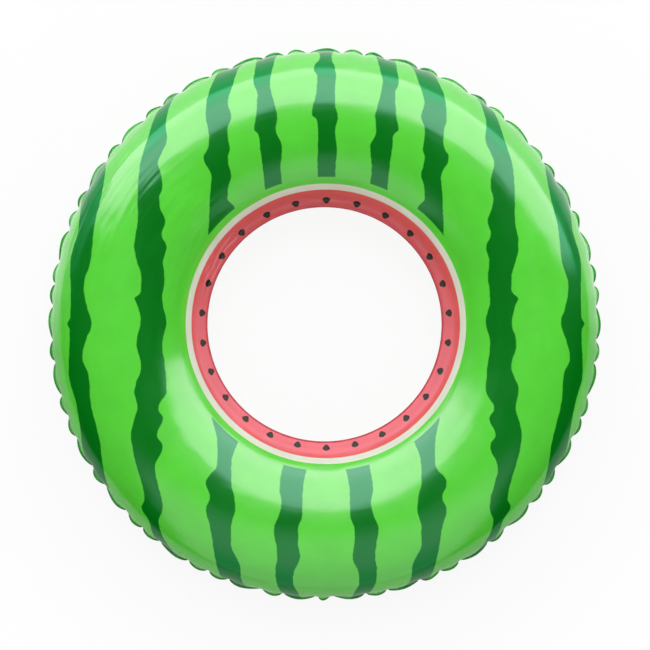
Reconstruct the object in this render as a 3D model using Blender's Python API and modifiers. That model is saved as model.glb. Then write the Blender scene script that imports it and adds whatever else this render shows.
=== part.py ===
"""Inflatable swim ring: two welded film sheets and a push-in valve.

Metres, +Z up. The ring lies flat on the floor with its centre over the origin. Angles round the
tube are those of the film's outward normal: they start at the outermost line and grow towards the
hole. The valve's own frame has +Z out of the film along the valve's axis, +X along the ring and +Y
up the tube towards the outer seam.
"""

import math

import bmesh
import bpy
from mathutils import Matrix, Vector
from mathutils.geometry import interpolate_bezier

# Ring and tube
HOLE_RADIUS = 0.173  # where the two sheets meet at the hole
OUTER_RADIUS = 0.397  # outermost line of the inflated film
FLOOR_FLAT = 0.0005  # how deep the tube is pressed flat where it lies on the floor
SECTION_STEPS = 1500  # steps in which the tube's section is worked out
SECTION_HALVINGS = 40  # halvings of the range in which the section's lean is looked for

# Film and welds
FILM = 0.0003  # one sheet
GAP = 0.0003  # between pieces that touch
OUTER_FLANGE = 0.0045  # how far the outer weld stands out of the tube
INNER_FLANGE = 0.003  # how far the inner weld reaches into the hole

# Puckers where the long flat edge is gathered onto the shorter inflated one
PUCKERS = 64
PUCKER_DEPTH = 0.0055  # how far a crease draws the seam in
PUCKER_LIFT = 0.0035  # how far a crease carries the seam up or down
PUCKER_SWELL = 0.0008  # how far the film puffs out between two creases
PUCKER_FADE = math.radians(9)  # angle up the tube in which a crease falls to a third
PUCKER_ROWS = (math.radians(7), math.radians(17))  # rows of points that carry the creases
PITCH_SCATTER = 0.45  # unevenness of the spacing, as a share of the pitch
DEPTH_SCATTER = 0.5  # unevenness of the depth, as a share of the deepest
TURN_STEP = math.radians(14)  # coarsest step round the tube

# Valve seat on the underside
VALVE_AZIMUTH = math.radians(-90)
VALVE_DROP = math.radians(42)  # below the tube's outermost line
RECESS_RADIUS = 0.0102  # inside of the collar that stands in the film's hole
COLLAR_WALL = 0.0008
FLANGE_WIDTH = 0.0045  # from the collar to the flange's edge, under the film
FLANGE_THICK = 0.001
SEAT_MARGIN = 0.0015  # flat film round the flange

# Rolling web between collar and neck
WEB_WALL = 0.0007
WEB_DRAW = 0.0014  # how far the wall is drawn in before it turns under
WEB_TURN = 0.62  # share of the depth at which it turns

# Neck
NECK_BORE = 0.0034
NECK_WALL = 0.0018
NECK_TOP = 0.0004  # above the film when the valve is pushed in
NECK_LENGTH = 0.0104
LIP_PROUD = 0.0007
LIP_DEPTH = 0.0012
EDGE_ROUND = 0.0004

# Check flap
FLAP_INSET = 0.0006  # from the neck's outside
FLAP_THICK = 0.0007
HINGE_INSET = 0.0001
FLAP_EAR = 0.0032  # width of the ear that carries the hinge
FLAP_SWING = math.radians(60)

# Plug
PLUG_CLEARANCE = 0.0003
PLUG_LENGTH = 0.0068
PLUG_TAPER = 0.0005
PLUG_WALL = 0.0011
HEAD_PROUD = 0.0007  # head past the neck's lip
HEAD_THICK = 0.0013
HEAD_CROWN = 0.0005
TAB_LENGTH = 0.0039  # grip tab past the head
TAB_WIDTH = 0.0052
TAB_THICK = 0.0009
PLUG_TRAVEL = 0.012

# Strap
STRAP_WIDTH = 0.003
STRAP_THICK = 0.0008
STRAP_RUN = 0.0022  # past the collar before the loop starts
STRAP_LOOP = 0.0014  # radius of the loop

ROUND_STEPS = 24  # facets round a valve piece
GOLDEN = (math.sqrt(5) - 1) / 2

# Sizes that follow from those above
sheet_lift = GAP + 1.5 * FILM  # of each sheet off the welds' middle, so that its edges clear them
collar_radius = RECESS_RADIUS + COLLAR_WALL
flange_radius = collar_radius + FLANGE_WIDTH
flange_top = -FILM - GAP
flange_middle = flange_top - FLANGE_THICK / 2
neck_outer = NECK_BORE + NECK_WALL
neck_bottom = NECK_TOP - NECK_LENGTH
lip_radius = neck_outer + LIP_PROUD
head_radius = lip_radius + HEAD_PROUD
web_end = neck_bottom + WEB_WALL / 2
neck_travel = 2 * (flange_middle - web_end)  # the web turns over into its mirror image
strap_level = STRAP_THICK / 2 + NECK_TOP


def clear_scene():
    for item in list(bpy.data.objects):
        bpy.data.objects.remove(item, do_unlink=True)


def new_collection(name):
    group = bpy.data.collections.new(name)
    bpy.context.scene.collection.children.link(group)
    return group


def linear(hex_colour):
    """Linear RGBA of an sRGB colour written as six hex digits."""
    values = [int(hex_colour[i : i + 2], 16) / 255 for i in (0, 2, 4)]
    return [v / 12.92 if v <= 0.04045 else ((v + 0.055) / 1.055) ** 2.4 for v in values] + [1.0]


def material(name, hex_colour, roughness, transmission=0.0):
    made = bpy.data.materials.new(name)
    made.use_nodes = True
    shader = made.node_tree.nodes["Principled BSDF"]
    shader.inputs["Base Color"].default_value = linear(hex_colour)
    shader.inputs["Roughness"].default_value = roughness
    shader.inputs["Metallic"].default_value = 0.0
    shader.inputs["Transmission Weight"].default_value = transmission
    made.diffuse_color = linear(hex_colour)
    return made


def add_object(name, mesh, group, finish=None, parent=None, sharp=math.radians(40)):
    made = bpy.data.objects.new(name, mesh)
    group.objects.link(made)
    if finish:
        mesh.materials.append(finish)
    if parent:
        made.parent = parent
    mesh.shade_smooth()
    mesh.set_sharp_from_angle(angle=sharp)
    return made


def thicken(item, thickness, offset):
    shell = item.modifiers.new("wall", "SOLIDIFY")
    shell.thickness = thickness
    shell.offset = offset
    shell.use_even_offset = True
    return shell


def cut(item, tool, operation="DIFFERENCE"):
    step = item.modifiers.new(operation.lower(), "BOOLEAN")
    step.operation = operation
    step.solver = "EXACT"
    step.object = tool
    return step


def hide_tool(tool):
    tool.hide_render = True
    tool.display_type = "WIRE"
    return tool


class Section:
    """Line of one sheet from the outermost line to the hole.

    Gathered film isn't pulled tight round the ring, so only its pull along the tube holds the air,
    and it bends in proportion to its distance from the ring's axis. It stands upright at the outer
    seam, which gives way to any inward pull, and leans at the inner weld, which doesn't.
    """

    def __init__(self, lean):
        self.bend = 2 * (1 + lean) / (OUTER_RADIUS**2 - HOLE_RADIUS**2)
        self.end = math.acos(-lean)
        self.step = self.end / SECTION_STEPS
        self.heights = [0.0]
        for i in range(SECTION_STEPS):
            middle = (i + 0.5) * self.step
            rise = math.cos(middle) * self.step * self.bend_radius(middle)
            self.heights.append(self.heights[-1] + rise)

    def out(self, angle):
        return math.sqrt(OUTER_RADIUS**2 - 2 * (1 - math.cos(angle)) / self.bend)

    def bend_radius(self, angle):
        return 1 / (self.bend * self.out(angle))

    def height(self, angle):
        i = min(int(angle / self.step), SECTION_STEPS - 1)
        share = angle / self.step - i
        return self.heights[i] + share * (self.heights[i + 1] - self.heights[i])

    def pressed_rows(self):
        """Angles between which the floor presses the tube flat."""
        level = max(self.heights) - FLOOR_FLAT
        inside = [i for i, height in enumerate(self.heights) if height >= level]
        return inside[0] * self.step, inside[-1] * self.step


def level_section():
    """The section whose two ends are at one height."""
    low, high = 0.0, 1.0
    for _ in range(SECTION_HALVINGS):
        found = Section((low + high) / 2)
        if found.heights[-1] < 0:
            high = (low + high) / 2
        else:
            low = (low + high) / 2
    return found


section = level_section()
centre_height = max(section.heights) + sheet_lift - FLOOR_FLAT


# Columns of points round the ring
def valve_rows():
    """Angles above and below the valve between which the tube has one flat facet."""
    half = math.asin((flange_radius + SEAT_MARGIN) / section.bend_radius(VALVE_DROP))
    return VALVE_DROP - half, VALVE_DROP + half


def ring_columns():
    """Azimuths of the even columns. The first and last bound the facet that seats the valve."""
    reach = section.out(valve_rows()[1])
    half = math.asin((flange_radius + SEAT_MARGIN) / reach)
    step = (2 * math.pi - 2 * half) / (PUCKERS - 1)
    return [VALVE_AZIMUTH + half + k * step for k in range(PUCKERS)]


def scatter(k, share):
    """An even but irregular value from -1/2 to 1/2 for each pucker."""
    return (k * share) % 1.0 - 0.5


class Pucker:
    """One crease of the outer seam, with the film's puff up to the next crease."""

    def __init__(self, k, azimuth, pitch):
        self.azimuth = azimuth + PITCH_SCATTER * pitch * scatter(k, GOLDEN)
        self.depth = PUCKER_DEPTH * (1 - DEPTH_SCATTER * (scatter(k, GOLDEN**2 * 5) + 0.5))
        self.lift = PUCKER_LIFT * (1 - DEPTH_SCATTER * (scatter(k, math.sqrt(7)) + 0.5))
        if k % 2:
            self.lift = -self.lift


def seam_columns():
    """Azimuth, inward draw and lift of each point of the puckered edge, three to a pucker."""
    even = ring_columns()
    pitch = 2 * math.pi / PUCKERS
    puckers = [Pucker(k, azimuth, pitch) for k, azimuth in enumerate(even)]
    columns = []
    for k, here in enumerate(puckers):
        after = puckers[(k + 1) % PUCKERS]
        span = (after.azimuth - here.azimuth) % (2 * math.pi)
        columns.append((here.azimuth, here.depth, here.lift))
        for share in (1 / 3, 2 / 3):
            lift = here.lift + share * (after.lift - here.lift)
            columns.append((here.azimuth + share * span, -PUCKER_SWELL, lift))
    return columns


# Points of the film
def at(azimuth, out, height):
    return Vector((out * math.cos(azimuth), out * math.sin(azimuth), height))


def puckered_row(side, angle):
    """Points of one row near the outer seam. side is 1 for the top sheet and -1 for the bottom."""
    fade = math.exp(-angle / PUCKER_FADE)
    height = centre_height + side * (section.height(angle) + sheet_lift)
    row = []
    for azimuth, draw, lift in seam_columns():
        out = section.out(angle) - draw * fade * math.cos(angle)
        row.append(at(azimuth, out, height + lift * fade))
    return row


def even_row(side, angle):
    height = centre_height + side * (section.height(angle) + sheet_lift)
    return [at(azimuth, section.out(angle), max(height, 0.0)) for azimuth in ring_columns()]


def spread(marks, step):
    """The marks in order, with even steps no wider than step between them."""
    angles = [marks[0]]
    for start, stop in zip(marks, marks[1:]):
        count = math.ceil((stop - start) / step - 1e-9)
        angles += [start + (stop - start) * (i + 1) / count for i in range(count)]
    return angles


def film_surface(name, side, even_angles):
    """Open half tube from the puckered outer edge to the smooth edge at the hole."""
    made = bmesh.new()
    creased = [
        [made.verts.new(p) for p in puckered_row(side, angle)] for angle in (0.0, *PUCKER_ROWS)
    ]
    smooth = [[made.verts.new(p) for p in even_row(side, angle)] for angle in even_angles]

    def face(*corners):
        made.faces.new(corners if side > 0 else corners[::-1])

    def join(lower, upper):
        for i, corner in enumerate(lower):
            j = (i + 1) % len(lower)
            face(corner, lower[j], upper[j], upper[i])

    for lower, upper in zip(creased, creased[1:]):
        join(lower, upper)
    last, first = creased[-1], smooth[0]
    for k in range(PUCKERS):
        crease, near, far = last[3 * k : 3 * k + 3]
        following, after = last[(3 * k + 3) % len(last)], first[(k + 1) % PUCKERS]
        face(crease, near, first[k])
        face(near, far, after, first[k])
        face(far, following, after)
    for lower, upper in zip(smooth, smooth[1:]):
        join(lower, upper)
    mesh = bpy.data.meshes.new(name)
    made.to_mesh(mesh)
    made.free()
    return mesh


def weld_strip(name, inner, outer):
    """Open strip between two closed rows of points."""
    made = bmesh.new()
    rows = [[made.verts.new(p) for p in row] for row in (inner, outer)]
    for i in range(len(inner)):
        j = (i + 1) % len(inner)
        made.faces.new((rows[0][i], rows[1][i], rows[1][j], rows[0][j]))
    mesh = bpy.data.meshes.new(name)
    made.to_mesh(mesh)
    made.free()
    return mesh


def sheets_and_welds(group, tools, seat):
    green = material("printed_pvc_film", "5CDA40", 0.16)
    dark_green = material("outer_weld_pvc", "2E9B2E", 0.25)
    pink = material("inner_weld_pvc", "C8464F", 0.25)
    upper_row, lower_row = valve_rows()

    angles = spread((upper_row, section.end), TURN_STEP)
    top = add_object("top_film", film_surface("top_film", 1, angles), group, green)
    thicken(top, FILM, -1)
    rows_below = (lower_row, *section.pressed_rows(), section.end)
    angles = [upper_row] + spread(rows_below, TURN_STEP)
    bottom = add_object("bottom_film", film_surface("bottom_film", -1, angles), group, green)
    thicken(bottom, FILM, -1)
    cut(bottom, valve_hole(tools, seat))

    rows = []
    for shift in (-FILM, FILM + OUTER_FLANGE):
        row = []
        for azimuth, draw, lift in seam_columns():
            row.append(at(azimuth, OUTER_RADIUS - draw + shift, centre_height + lift))
        rows.append(row)
    outer = add_object("outer_weld_seam", weld_strip("outer_weld_seam", *rows), group, dark_green)
    thicken(outer, 2 * FILM, 0)

    rows = [
        [at(azimuth, out, centre_height) for azimuth in ring_columns()]
        for out in (HOLE_RADIUS - INNER_FLANGE, HOLE_RADIUS + FILM)
    ]
    inner = add_object("inner_weld_seam", weld_strip("inner_weld_seam", *rows), group, pink)
    thicken(inner, 2 * FILM, 0)


# Valve
def valve_seat():
    """Frame of the valve on the flat facet of the bottom sheet."""
    columns = ring_columns()
    corners = []
    for angle in valve_rows():
        out = section.out(angle)
        height = centre_height - section.height(angle) - sheet_lift
        corners += [at(columns[-1], out, height), at(columns[0], out, height)]
    middle = sum(corners, Vector()) / len(corners)
    along = (corners[1] - corners[0]).normalized()
    up = ((corners[0] + corners[1]) - (corners[2] + corners[3])).normalized()
    out = along.cross(up)
    frame = Matrix((along, up, out)).transposed().to_4x4()
    frame.translation = middle
    return frame


def valve_hole(tools, seat):
    radius = collar_radius + GAP
    made = bmesh.new()
    bmesh.ops.create_cone(
        made, cap_ends=True, segments=ROUND_STEPS, radius1=radius, radius2=radius, depth=radius
    )
    mesh = bpy.data.meshes.new("valve_hole")
    made.to_mesh(mesh)
    made.free()
    tool = hide_tool(add_object("valve_hole", mesh, tools))
    tool.matrix_world = seat
    return tool


def turned(name, profile, group, finish, parent, closed=True):
    """Solid of revolution about local Z. The profile is a list of (radius, height)."""
    mesh = bpy.data.meshes.new(name)
    points = [(radius, 0.0, height) for radius, height in profile]
    edges = [(i, i + 1) for i in range(len(points) - 1)]
    if closed:
        edges.append((len(points) - 1, 0))
    mesh.from_pydata(points, edges, [])
    made = add_object(name, mesh, group, finish, parent)
    screw = made.modifiers.new("turn", "SCREW")
    screw.steps = ROUND_STEPS
    screw.render_steps = ROUND_STEPS
    screw.use_merge_vertices = True
    screw.merge_threshold = 0.00001
    screw.use_smooth_shade = True
    return made


def valve_base(group, seat, finish):
    profile = [
        (flange_radius, flange_top),
        (flange_radius, flange_top - FLANGE_THICK),
        (RECESS_RADIUS, flange_top - FLANGE_THICK),
        (RECESS_RADIUS, 0.0),
        (collar_radius, 0.0),
        (collar_radius, flange_top),
    ]
    return turned("valve_base", profile, group, finish, seat)


def web_line():
    """Middle of the web's wall from the base to the neck: down, and round under the neck."""
    start = Vector((RECESS_RADIUS - GAP - WEB_WALL / 2, flange_middle))
    turn = Vector((RECESS_RADIUS - WEB_DRAW, web_end * WEB_TURN))
    end = Vector((neck_outer + GAP + WEB_WALL / 2, web_end))
    down = Vector((0.0, web_end * 0.3))
    wall = interpolate_bezier(start, start + down, turn - down * 0.4, turn, 4)
    under = interpolate_bezier(turn, turn + down * 0.8, end + Vector((WEB_WALL * 2, 0)), end, 5)
    return wall + under[1:]


def valve_web(group, seat, finish):
    line = web_line()
    outside, inside = [], []
    for i, point in enumerate(line):
        before, after = line[max(i - 1, 0)], line[min(i + 1, len(line) - 1)]
        run = (after - before).normalized()
        side = Vector((-run.y, run.x)) * WEB_WALL / 2
        outside.append(tuple(point + side))
        inside.append(tuple(point - side))
    return turned("valve_web", outside + inside[::-1], group, finish, seat)


def valve_neck(group, seat, finish):
    profile = [
        (NECK_BORE + EDGE_ROUND, NECK_TOP),
        (lip_radius - EDGE_ROUND, NECK_TOP),
        (lip_radius, NECK_TOP - EDGE_ROUND),
        (lip_radius, NECK_TOP - LIP_DEPTH),
        (neck_outer, NECK_TOP - LIP_DEPTH - EDGE_ROUND),
        (neck_outer, neck_bottom),
        (NECK_BORE, neck_bottom),
        (NECK_BORE, NECK_TOP - EDGE_ROUND),
    ]
    return turned("valve_neck", profile, group, finish, seat)


def flap_hinge():
    """A point on the hinge line, in the valve's frame."""
    return Vector((0.0, neck_outer - HINGE_INSET, neck_bottom - GAP - FLAP_THICK / 2))


def valve_flap(group, seat, finish):
    """Round flap with an ear at its hinge line, drawn about the hinge."""
    radius = neck_outer - FLAP_INSET
    middle = -flap_hinge().y
    half_ear = math.asin(FLAP_EAR / 2 / radius)
    outline = []
    for i in range(ROUND_STEPS + 1):
        angle = math.pi / 2 + half_ear + i * (2 * math.pi - 2 * half_ear) / ROUND_STEPS
        outline.append((radius * math.cos(angle), middle + radius * math.sin(angle)))
    outline += [(FLAP_EAR / 2, 0.0), (-FLAP_EAR / 2, 0.0)]
    curve = bpy.data.curves.new("valve_flap", "CURVE")
    curve.dimensions = "2D"
    curve.fill_mode = "BOTH"
    curve.extrude = FLAP_THICK / 2
    line = curve.splines.new("POLY")
    line.points.add(len(outline) - 1)
    for point, (x, y) in zip(line.points, outline):
        point.co = (x, y, 0.0, 1.0)
    line.use_cyclic_u = True
    curve.materials.append(finish)
    made = bpy.data.objects.new("valve_flap", curve)
    group.objects.link(made)
    made.parent = seat
    made.location = flap_hinge()
    return made


def valve_plug(group, tools, seat, finish):
    shank = NECK_BORE - PLUG_CLEARANCE
    under = NECK_TOP + GAP
    tip = under - PLUG_LENGTH
    profile = [
        (0.0, under + HEAD_THICK + HEAD_CROWN),
        (head_radius * 0.6, under + HEAD_THICK + HEAD_CROWN * 0.7),
        (head_radius - EDGE_ROUND, under + HEAD_THICK),
        (head_radius, under + HEAD_THICK - EDGE_ROUND),
        (head_radius, under + EDGE_ROUND),
        (head_radius - EDGE_ROUND, under),
        (shank, under),
        (shank, tip + PLUG_TAPER * 3),
        (shank - PLUG_TAPER, tip),
        (shank - PLUG_WALL, tip),
        (shank - PLUG_WALL, under - EDGE_ROUND),
        (0.0, under),
    ]
    plug = turned("valve_plug", profile, group, finish, seat, closed=False)
    made = bmesh.new()
    bmesh.ops.create_cube(made, size=1.0)
    inner, outer = head_radius / 2, head_radius + TAB_LENGTH
    size = (outer - inner, TAB_WIDTH, TAB_THICK)
    bmesh.ops.scale(made, vec=size, verts=made.verts)
    upright = [e for e in made.edges if abs(e.verts[0].co.z - e.verts[1].co.z) > TAB_THICK / 2]
    ends = [e for e in upright if e.verts[0].co.x < 0]
    bmesh.ops.bevel(made, geom=ends, offset=TAB_WIDTH * 0.35, segments=3, affect="EDGES")
    mesh = bpy.data.meshes.new("plug_tab")
    made.to_mesh(mesh)
    made.free()
    tab = hide_tool(add_object("plug_tab", mesh, tools, finish, seat))
    tab.location = (-(inner + outer) / 2, 0.0, under + HEAD_THICK / 2)
    cut(plug, tab, "UNION")
    return plug


def strap_line():
    """Middle of the strap from the neck's lip, out over the film, round and back to the plug."""
    start = Vector((lip_radius + GAP, NECK_TOP - LIP_DEPTH / 2))
    low = Vector((collar_radius + STRAP_RUN, strap_level))
    middle = low + Vector((0.0, STRAP_LOOP))
    high = middle + Vector((0.0, STRAP_LOOP))
    end = Vector((head_radius + GAP, NECK_TOP + GAP + HEAD_THICK / 2))
    over = Vector((RECESS_RADIUS, strap_level))
    climb = Vector((over.x - start.x, 0.0)) * 0.45
    out = Vector((low.x - end.x, 0.0)) * 0.4
    lower = interpolate_bezier(start, start + climb, over - climb, over, 5) + [low]
    turns = 6
    loop = []
    for i in range(1, turns):
        angle = -math.pi / 2 + math.pi * i / turns
        loop.append(middle + STRAP_LOOP * Vector((math.cos(angle), math.sin(angle))))
    upper = interpolate_bezier(high, high - out, end + out, end, 6)
    return lower + loop + upper


def valve_strap(group, seat, finish):
    made = bmesh.new()
    rows = []
    for side in (-STRAP_WIDTH / 2, STRAP_WIDTH / 2):
        rows.append([made.verts.new((p.x, side, p.y)) for p in strap_line()])
    near, far = rows
    for i in range(len(near) - 1):
        made.faces.new((near[i], near[i + 1], far[i + 1], far[i]))
    mesh = bpy.data.meshes.new("valve_strap")
    made.to_mesh(mesh)
    made.free()
    strap = add_object("valve_strap", mesh, group, finish, seat)
    thicken(strap, STRAP_THICK, 0)
    return strap


def main():
    clear_scene()
    group = new_collection("swim_ring")
    tools = new_collection("cutters")
    frame = valve_seat()
    sheets_and_welds(group, tools, frame)

    seat = bpy.data.objects.new("valve_axis", None)
    seat.empty_display_size = flange_radius
    seat.matrix_world = frame
    group.objects.link(seat)
    clear_pvc = material("moulded_clear_pvc", "DCE6E1", 0.2, 0.6)
    film_pvc = material("thin_clear_pvc", "DCE6E1", 0.15, 0.7)
    valve_base(group, seat, clear_pvc)
    valve_web(group, seat, film_pvc)
    valve_neck(group, seat, clear_pvc)
    valve_flap(group, seat, film_pvc)
    valve_plug(group, tools, seat, clear_pvc)
    valve_strap(group, seat, clear_pvc)

    print("valve middle", tuple(round(v, 6) for v in frame.translation))
    print("neck and plug slide along", tuple(round(v, 6) for v in frame.col[2][:3]))
    print("neck travel", round(neck_travel, 6), "plug travel", PLUG_TRAVEL)
    print("flap hinge through", tuple(round(v, 6) for v in frame @ flap_hinge()))
    print("flap hinge along", tuple(round(v, 6) for v in frame.col[0][:3]))
    print("flap swing in degrees", round(math.degrees(FLAP_SWING), 1))


main()
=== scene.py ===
# %% [markdown]
# # A swim ring of printed PVC film
#
# The real ring is two flat ring-shaped sheets of soft PVC film, printed on their backs, laid face
# to face and welded together along the outside and round the hole. A small push-in valve is welded
# under a hole in the lower sheet. Air does the rest: it turns the flat sheets into a tube, and
# because the long outer edge has to shrink onto a shorter line, it gathers the outer seam into
# puckers.
#
# The lesson follows the same order: the shape that air gives a gathered sheet, the puckers, the
# two sheets, the welds, the valve, then the finishes, and last the studio.

import math

import bmesh
import bpy
import numpy as np
from mathutils import Matrix, Vector
from mathutils.geometry import interpolate_bezier


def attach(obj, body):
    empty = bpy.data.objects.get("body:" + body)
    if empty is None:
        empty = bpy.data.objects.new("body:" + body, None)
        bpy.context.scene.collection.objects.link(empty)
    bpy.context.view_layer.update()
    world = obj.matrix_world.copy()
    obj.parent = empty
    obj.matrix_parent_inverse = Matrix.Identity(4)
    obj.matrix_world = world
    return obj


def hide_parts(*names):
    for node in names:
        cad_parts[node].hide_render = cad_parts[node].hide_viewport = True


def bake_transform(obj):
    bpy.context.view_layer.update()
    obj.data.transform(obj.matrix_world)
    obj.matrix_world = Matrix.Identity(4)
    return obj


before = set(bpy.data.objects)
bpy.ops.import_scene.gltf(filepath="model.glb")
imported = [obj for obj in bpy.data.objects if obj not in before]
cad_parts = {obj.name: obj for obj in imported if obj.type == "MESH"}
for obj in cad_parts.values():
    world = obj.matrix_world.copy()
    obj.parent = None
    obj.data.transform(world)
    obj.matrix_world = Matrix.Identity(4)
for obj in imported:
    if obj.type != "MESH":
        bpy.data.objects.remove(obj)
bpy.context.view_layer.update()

# %% [markdown]
# ## Sizes
#
# Every size here is one that the CAD model uses too, in metres, so that each visible piece lies
# where its solid is. Angles are those of the film's outward normal: 0 degrees at the outermost
# line, 90 at the crest of the tube, and about 154 at the hole.

# %% Sizes of the ring
HOLE_RADIUS = 0.173  # where the two sheets meet at the hole
OUTER_RADIUS = 0.397  # outermost line of the inflated film
FLOOR_FLAT = 0.0005  # how deep the floor presses the tube flat
FILM = 0.0003  # thickness of one sheet
GAP = 0.0003  # between pieces that touch
INNER_FLANGE = 0.003  # how far the inner weld reaches into the hole
sheet_lift = GAP + 1.5 * FILM  # of each sheet off the middle of the welds
print("hole to outside", round(HOLE_RADIUS / OUTER_RADIUS, 2))

# %% [markdown]
# ## The section of an inflated tube
#
# A tube blown up from flat ring-shaped sheets isn't round in section. The gathered film can't pull
# round the ring, so only its pull along the tube holds the air in, and the sheet then bends in
# proportion to its distance from the ring's axis: tightly outside, gently towards the hole. The
# crest lies outside the middle of the tube. It could be drawn as a circle or a Bezier curve, but
# the highlights on the film slide along the true section, so it is worked out here. One unknown is
# left, how far the sheet leans over the hole, and it is found by halving its range until both ends
# of the sheet are at one height.

# %% The section
SECTION_STEPS = 1500
SECTION_HALVINGS = 40


def section_line(lean):
    """Angle, distance from the axis, height and length along the sheet, from the outermost line."""
    bend = 2 * (1 + lean) / (OUTER_RADIUS**2 - HOLE_RADIUS**2)
    angle = np.linspace(0, math.acos(-lean), SECTION_STEPS + 1)
    middle = (angle[1:] + angle[:-1]) / 2

    def distance(at_angle):
        return np.sqrt(OUTER_RADIUS**2 - 2 * (1 - np.cos(at_angle)) / bend)

    step = angle[1] / (bend * distance(middle))  # the angles are even, so [1] is each one's share
    height = np.append(0, np.cumsum(np.cos(middle) * step))
    return angle, distance(angle), height, np.append(0, np.cumsum(step))


low, high = 0.0, 1.0
for _ in range(SECTION_HALVINGS):
    lean = (low + high) / 2
    if section_line(lean)[2][-1] < 0:
        high = lean
    else:
        low = lean
line_angle, line_out, line_height, line_length = section_line(lean)
sheet_width = line_length[-1]
flat_radius = HOLE_RADIUS + sheet_width
centre_height = line_height.max() + sheet_lift - FLOOR_FLAT
print("crest at", round(float(line_out[line_height.argmax()]), 4), "of", OUTER_RADIUS)
print("flat sheet", round(2 * flat_radius, 3), "m across, seam", round(centre_height, 4), "m up")

# %% [markdown]
# ## Puckers
#
# The flat sheet is nearly a metre across and the blown-up ring only 0.8 m, so about 0.55 m of edge
# has to go somewhere. It folds into creases some 39 mm apart. Real creases are uneven, so their
# spacing, depth and lift come from fixed irregular steps, the same ones that placed the creases of
# the CAD model. Each crease is a sharp valley at the seam and dies out a few centimetres up the
# tube. The film between two creases swells out a little.

# %% Where the creases are
PUCKERS = 64
PITCH_SCATTER = 0.45
DEPTH_SCATTER = 0.5
LENGTH_SCATTER = 0.8
CREASE_DEPTH = 0.0062  # deepest draw of the seam, at the weld
PUCKER_LIFT = 0.0035
PUCKER_SWELL = 0.0014
PUCKER_LEAN = 0.9  # how unevenly a pucker leans to one side
LIFT_FADE = math.radians(9)
GOLDEN = (math.sqrt(5) - 1) / 2  # an irrational step never falls into a rhythm
VALVE_DROP = math.radians(42)  # of the valve's seat below the seam
SEAT_REACH = 0.017  # half the flat facet that seats the valve


def scatter(k, share):
    """An even but irregular value from -1/2 to 1/2 for each pucker."""
    return (k * share) % 1.0 - 0.5


def bend_radius(angle):
    out = np.interp(angle, line_angle, line_out)
    return (OUTER_RADIUS**2 - HOLE_RADIUS**2) / (2 * (1 + lean) * out)


seat_half = math.asin(SEAT_REACH / bend_radius(VALVE_DROP))
seat_angles = (VALVE_DROP - seat_half, VALVE_DROP + seat_half)
seat_turn = math.asin(SEAT_REACH / np.interp(seat_angles[1], line_angle, line_out))
pitch = (2 * math.pi - 2 * seat_turn) / (PUCKERS - 1)
pucker = np.arange(PUCKERS)
even_azimuth = -math.pi / 2 + seat_turn + pucker * pitch
even_span = np.append(np.full(PUCKERS - 1, pitch), 2 * seat_turn)
crease_azimuth = even_azimuth + PITCH_SCATTER * 2 * math.pi / PUCKERS * scatter(pucker, GOLDEN)
crease_span = (np.roll(crease_azimuth, -1) - crease_azimuth) % (2 * math.pi)
crease_depth = CREASE_DEPTH * (1 - DEPTH_SCATTER * (scatter(pucker, GOLDEN**2 * 5) + 0.5))
crease_lift = PUCKER_LIFT * (1 - DEPTH_SCATTER * (scatter(pucker, math.sqrt(7)) + 0.5))
crease_lift *= np.where(pucker % 2, -1, 1)
crease_length = 1 + LENGTH_SCATTER * scatter(pucker, math.sqrt(3))
pucker_lean = PUCKER_LEAN * scatter(pucker, math.sqrt(11))
print("spacing in mm", np.round(crease_span[:6] * OUTER_RADIUS * 1000), "and on")

# %% [markdown]
# The seam's line is needed three times, by both sheets and by the weld, so one function gives it:
# how far a crease draws the edge in, and how far it carries it up or down, at any share of the way
# from one crease to the next.

# %% The line of the seam
VALLEY_POWER = 2.1  # above 1: a sharp valley with a rounded crest between
VALLEY_ROUND = 0.012  # rounding of the valley at the seam, as a share of the span
VALLEY_SPREAD = 0.2  # how much rounder it is higher up
VALLEY_OPEN = math.radians(30)  # angle from which it is at its roundest
SHORT_FADE = math.radians(10)
LONG_FADE = math.radians(17)
LONG_SHARE = 0.3


def nearness(share, angle):
    """1 at a crease and 0 half way to the next, sharper the nearer to the seam."""
    rounding = VALLEY_ROUND + VALLEY_SPREAD * np.minimum(angle / VALLEY_OPEN, 1)
    away = (np.sqrt(share**2 + rounding**2) - rounding) / 0.5
    return (1 - np.minimum(away, 1)) ** VALLEY_POWER


def draw_in(k, share, angle):
    """How far the film is drawn in at a share of the way from crease k to the next."""
    share = share + pucker_lean[k] * share * (1 - share)
    total, swell = 0, 1
    for crease, away in ((k, share), ((k + 1) % PUCKERS, 1 - share)):
        near = nearness(away, angle)
        fade = (1 - LONG_SHARE) * np.exp(-angle / SHORT_FADE)
        fade = fade + LONG_SHARE * np.exp(-angle / (LONG_FADE * crease_length[crease]))
        total = total + crease_depth[crease] * near * fade
        swell = swell - near
    return total - PUCKER_SWELL * swell * np.exp(-angle / LIFT_FADE)


def lift_up(k, share):
    """How far the seam is carried up at a share of the way from crease k to the next."""
    turn = 0.5 - 0.5 * np.cos(math.pi * share)
    return crease_lift[k] + (crease_lift[(k + 1) % PUCKERS] - crease_lift[k]) * turn


print("crease 0 draws the seam in by", round(float(draw_in(0, 0.0, 0.0)) * 1000, 1), "mm")

# %% [markdown]
# ## One sheet as a grid of points
#
# The sheet could be a torus with a displacement, or a cloth simulation. A grid in which every
# column is a line along the tube and every row a line round the ring is kept instead, because then
# each point knows where it lies on the flat sheet, and the print can be drawn flat, as the printer
# draws it. Near the seam the columns crowd at the creases, and further up they are evenly spaced.
# At both ends the film turns out of the tube into the weld.

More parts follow.
